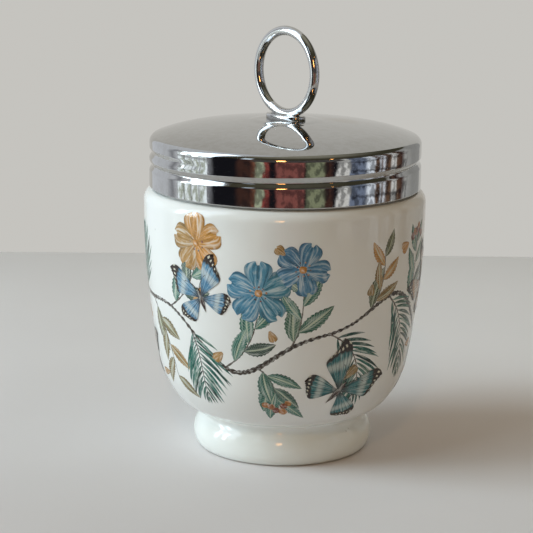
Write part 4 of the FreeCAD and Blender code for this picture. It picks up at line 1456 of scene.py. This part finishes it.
share, height = np.array(BOARD_ROWS).T
board_grid = stacked(BOARD_HALF * share, BOARD_HALF * share, BOARD_SQUARENESS, height, BOARD_COLUMNS)
turn_to_view = np.array([[math.cos(azimuth), math.sin(azimuth)], [-math.sin(azimuth), math.cos(azimuth)]])
board_grid[..., :2] = board_grid[..., :2] @ turn_to_view
board = skin("board", board_grid)
board.data.materials.append(board_finish())

# %% [markdown]
# ## What the chrome sees
# Chrome shows only what is around it, so the room in front gets strips of dark and coloured card under a
# dark ceiling. They stand on a curved screen that no camera sees and that lights nothing: it is there in
# reflections alone. Two ramps colour it along its length, and masks add the window and the ceiling.

# %% Colours of the cards, by the angle round the object
CARD_FROM, CARD_TO = -150.0, 152.0
RIGHT_FROM = 78
TONES = dict(
    wall=colour(0.70, 0.73, 0.78), frame=colour(0.30, 0.31, 0.34), black=colour(0.012, 0.012, 0.016),
    umber=colour(0.075, 0.036, 0.028), tan=colour(0.27, 0.105, 0.066), sage=colour(0.62, 0.70, 0.50),
    rust=colour(0.36, 0.080, 0.070), rose=colour(0.33, 0.115, 0.100), olive=colour(0.32, 0.35, 0.22),
    pale=colour(0.95, 0.95, 0.93), slate=colour(0.24, 0.29, 0.41), sky=colour(1.15, 1.25, 1.40),
    brown=colour(0.17, 0.10, 0.065), stone=colour(0.52, 0.52, 0.51), dusk=colour(0.34, 0.34, 0.33))
LEFT_CARDS = (
    (-150, "wall"), (-116, "wall"), (-108, "frame"), (-102, "wall"), (-66, "frame"), (-62, "black"),
    (-42, "black"), (-38, "umber"), (-29, "umber"), (-28, "tan"), (-25, "tan"), (-24, "sage"), (-19, "sage"),
    (-18, "rust"), (-14, "rust"), (-13, "black"), (-8, "black"), (-6, "rose"), (14, "rose"), (16, "black"),
    (17.5, "olive"), (31, "olive"), (33, "umber"), (39, "umber"), (40, "black"), (42, "black"), (43, "pale"),
    (53, "pale"), (55, "slate"), (69, "slate"), (71, "sky"), (RIGHT_FROM, "sky"))
RIGHT_CARDS = (
    (RIGHT_FROM, "sky"), (80, "brown"), (83, "brown"), (84, "sky"), (86, "brown"), (89, "sky"), (91, "brown"),
    (97, "brown"), (99, "pale"), (104, "pale"), (106, "brown"), (112, "umber"), (118, "stone"), (132, "dusk"),
    (152, "dusk"))
print("card colours:", len(TONES))

# %% Finish of the cards
def card_strips(finish, angle, wobble):
    """The colours of the cards along the screen, with wavy edges: two ramps, because one has 32 stops at
    most."""
    span = CARD_TO - CARD_FROM
    across = (angle + wobble * 100 - CARD_FROM) / span
    ramps = []
    for cards in (LEFT_CARDS, RIGHT_CARDS):
        stops = [((at - CARD_FROM) / span, TONES[tone]) for at, tone in cards]
        ramps.append(finish.node("ShaderNodeValToRGB", {"stops": stops}, {"Fac": across}))
    return finish.blend(finish.step(angle, RIGHT_FROM - 0.5, RIGHT_FROM), *ramps)


def lines(finish, value, low, high):
    """Lines where value is a whole number: the distance from the middle of a gap, which is 0.5 on a line,
    steps up from low to high."""
    return finish.step(abs(finish.math("FRACT", value) - 0.5), low, high)


def card_finish():
    """Strips of card by the angle round the object: a light wall on the left, the window and its frame,
    then dark, brown, red and pale cloths in front, and furniture on the right. Over them a dark ceiling."""
    finish = Finish("card")
    place, strip = finish.place(), finish.node("ShaderNodeUVMap", {"uv_map": "strip"})
    up, black = finish.axis(strip, "Y"), TONES["black"]
    angle = finish.axis(strip, "X") * (CARD_TO - CARD_FROM) + CARD_FROM
    wobble = (finish.noise(9, 2, finish.stretch(place, (1.0, 1.0, 1.5))) - 0.5) * 0.07
    row = card_strips(finish, angle, wobble)
    above = finish.step(up, 0.43, 0.55) * finish.between(angle, (-30, -26), (44, 54))
    row = finish.blend(above, row, colour(0.115, 0.105, 0.098))

    leaves = finish.step(finish.noise(16, 3, place, 0.7), 0.42, 0.60)
    garden = finish.blend(leaves, colour(1.45, 1.60, 1.70), colour(0.56, 0.62, 0.52))
    bars, rails = lines(finish, (angle + 101) / 8.5, 0.40, 0.45), lines(finish, up * 7.3 + 0.25, 0.41, 0.46)
    panes = finish.blend(finish.math("MAXIMUM", bars, rails) * 0.75, garden, TONES["frame"])
    row = finish.blend(finish.between(angle, (-101.5, -100.5), (-68, -67)), row, panes)

    folds = finish.step(finish.noise(13, 3, finish.stretch(place, (1.0, 1.0, 1.4)), 0.55), 0.46, 0.56)
    row = finish.blend(folds * finish.between(angle, (-40, -34), (118, 124)) * 0.62, row, black)
    dots = 1 - finish.step(finish.cells(5.2, finish.stretch(place, (1.0, 1.0, 0.9))), 0.19, 0.23)
    row = finish.blend(dots * finish.between(angle, (42, 43), (54, 55)), row, black)
    shelves = lines(finish, up * 16 + wobble * 8, 0.36, 0.42)
    row = finish.blend(shelves * finish.between(angle, (54, 56), (110, 114)) * 0.7, row, black)

    ceiling = finish.blend(finish.step(up, 1.3, 1.9), colour(0.060, 0.055, 0.036), colour(0.30, 0.29, 0.23))
    ceiling = finish.blend(1 - finish.step(angle, -72, -56), ceiling, TONES["wall"])
    indoors = finish.blend(finish.step(up, 0.98, 1.06), row, ceiling)
    window = finish.between(angle, (-98, -96), (-65, -63)) * finish.between(up, (0.61, 0.67), (1.67, 1.73))
    gap = finish.between(angle, (-40, -38), (-31, -29)) * finish.between(up, (0.92, 0.98), (1.27, 1.33))
    glow = finish.blend(window + gap * 0.4, indoors, colour(2.5, 3.0, 3.5))
    shine = finish.node("ShaderNodeEmission", {}, {"Color": glow})
    finish.node("ShaderNodeOutputMaterial", {}, {"Surface": shine})
    return finish.owner


card = card_finish()
print("material:", card.name, "of", len(card.node_tree.nodes), "nodes")

# %% Screen of cards with a curved ceiling
CARD_DISTANCE, CARD_LOW, CARD_HIGH, CEILING = 950.0, -420.0, 560.0, 1100.0
CARD_COLUMNS, WALL_STEPS, CEILING_STEPS = 120, 3, 12

card_angles = azimuth + np.radians(np.linspace(CARD_FROM, CARD_TO, CARD_COLUMNS)) - np.pi / 2
card_rows = joined(
    run((CARD_DISTANCE, CARD_LOW), (CARD_DISTANCE, CARD_HIGH), WALL_STEPS),
    arc((0, CARD_HIGH), (CARD_DISTANCE, CEILING - CARD_HIGH), 0, 88, CEILING_STEPS))
cards = skin("cards", turned_grid(card_rows, card_angles), wrap_columns=False)

upward = np.concatenate([np.linspace(0, 1, WALL_STEPS + 1), np.linspace(1, 2, CEILING_STEPS + 1)[1:]])
along, up_share = np.meshgrid(np.linspace(0, 1, CARD_COLUMNS), upward)
strip = np.column_stack([along.ravel(), up_share.ravel()])[loop_points(cards.data)]
cards.data.uv_layers.new(name="strip").data.foreach_set("uv", strip.ravel())
cards.data.materials.append(card)
for ray in ("camera", "diffuse", "shadow", "transmission"):
    setattr(cards, f"visible_{ray}", False)
print("cards show in reflections only:", cards.visible_glossy, cards.visible_camera)
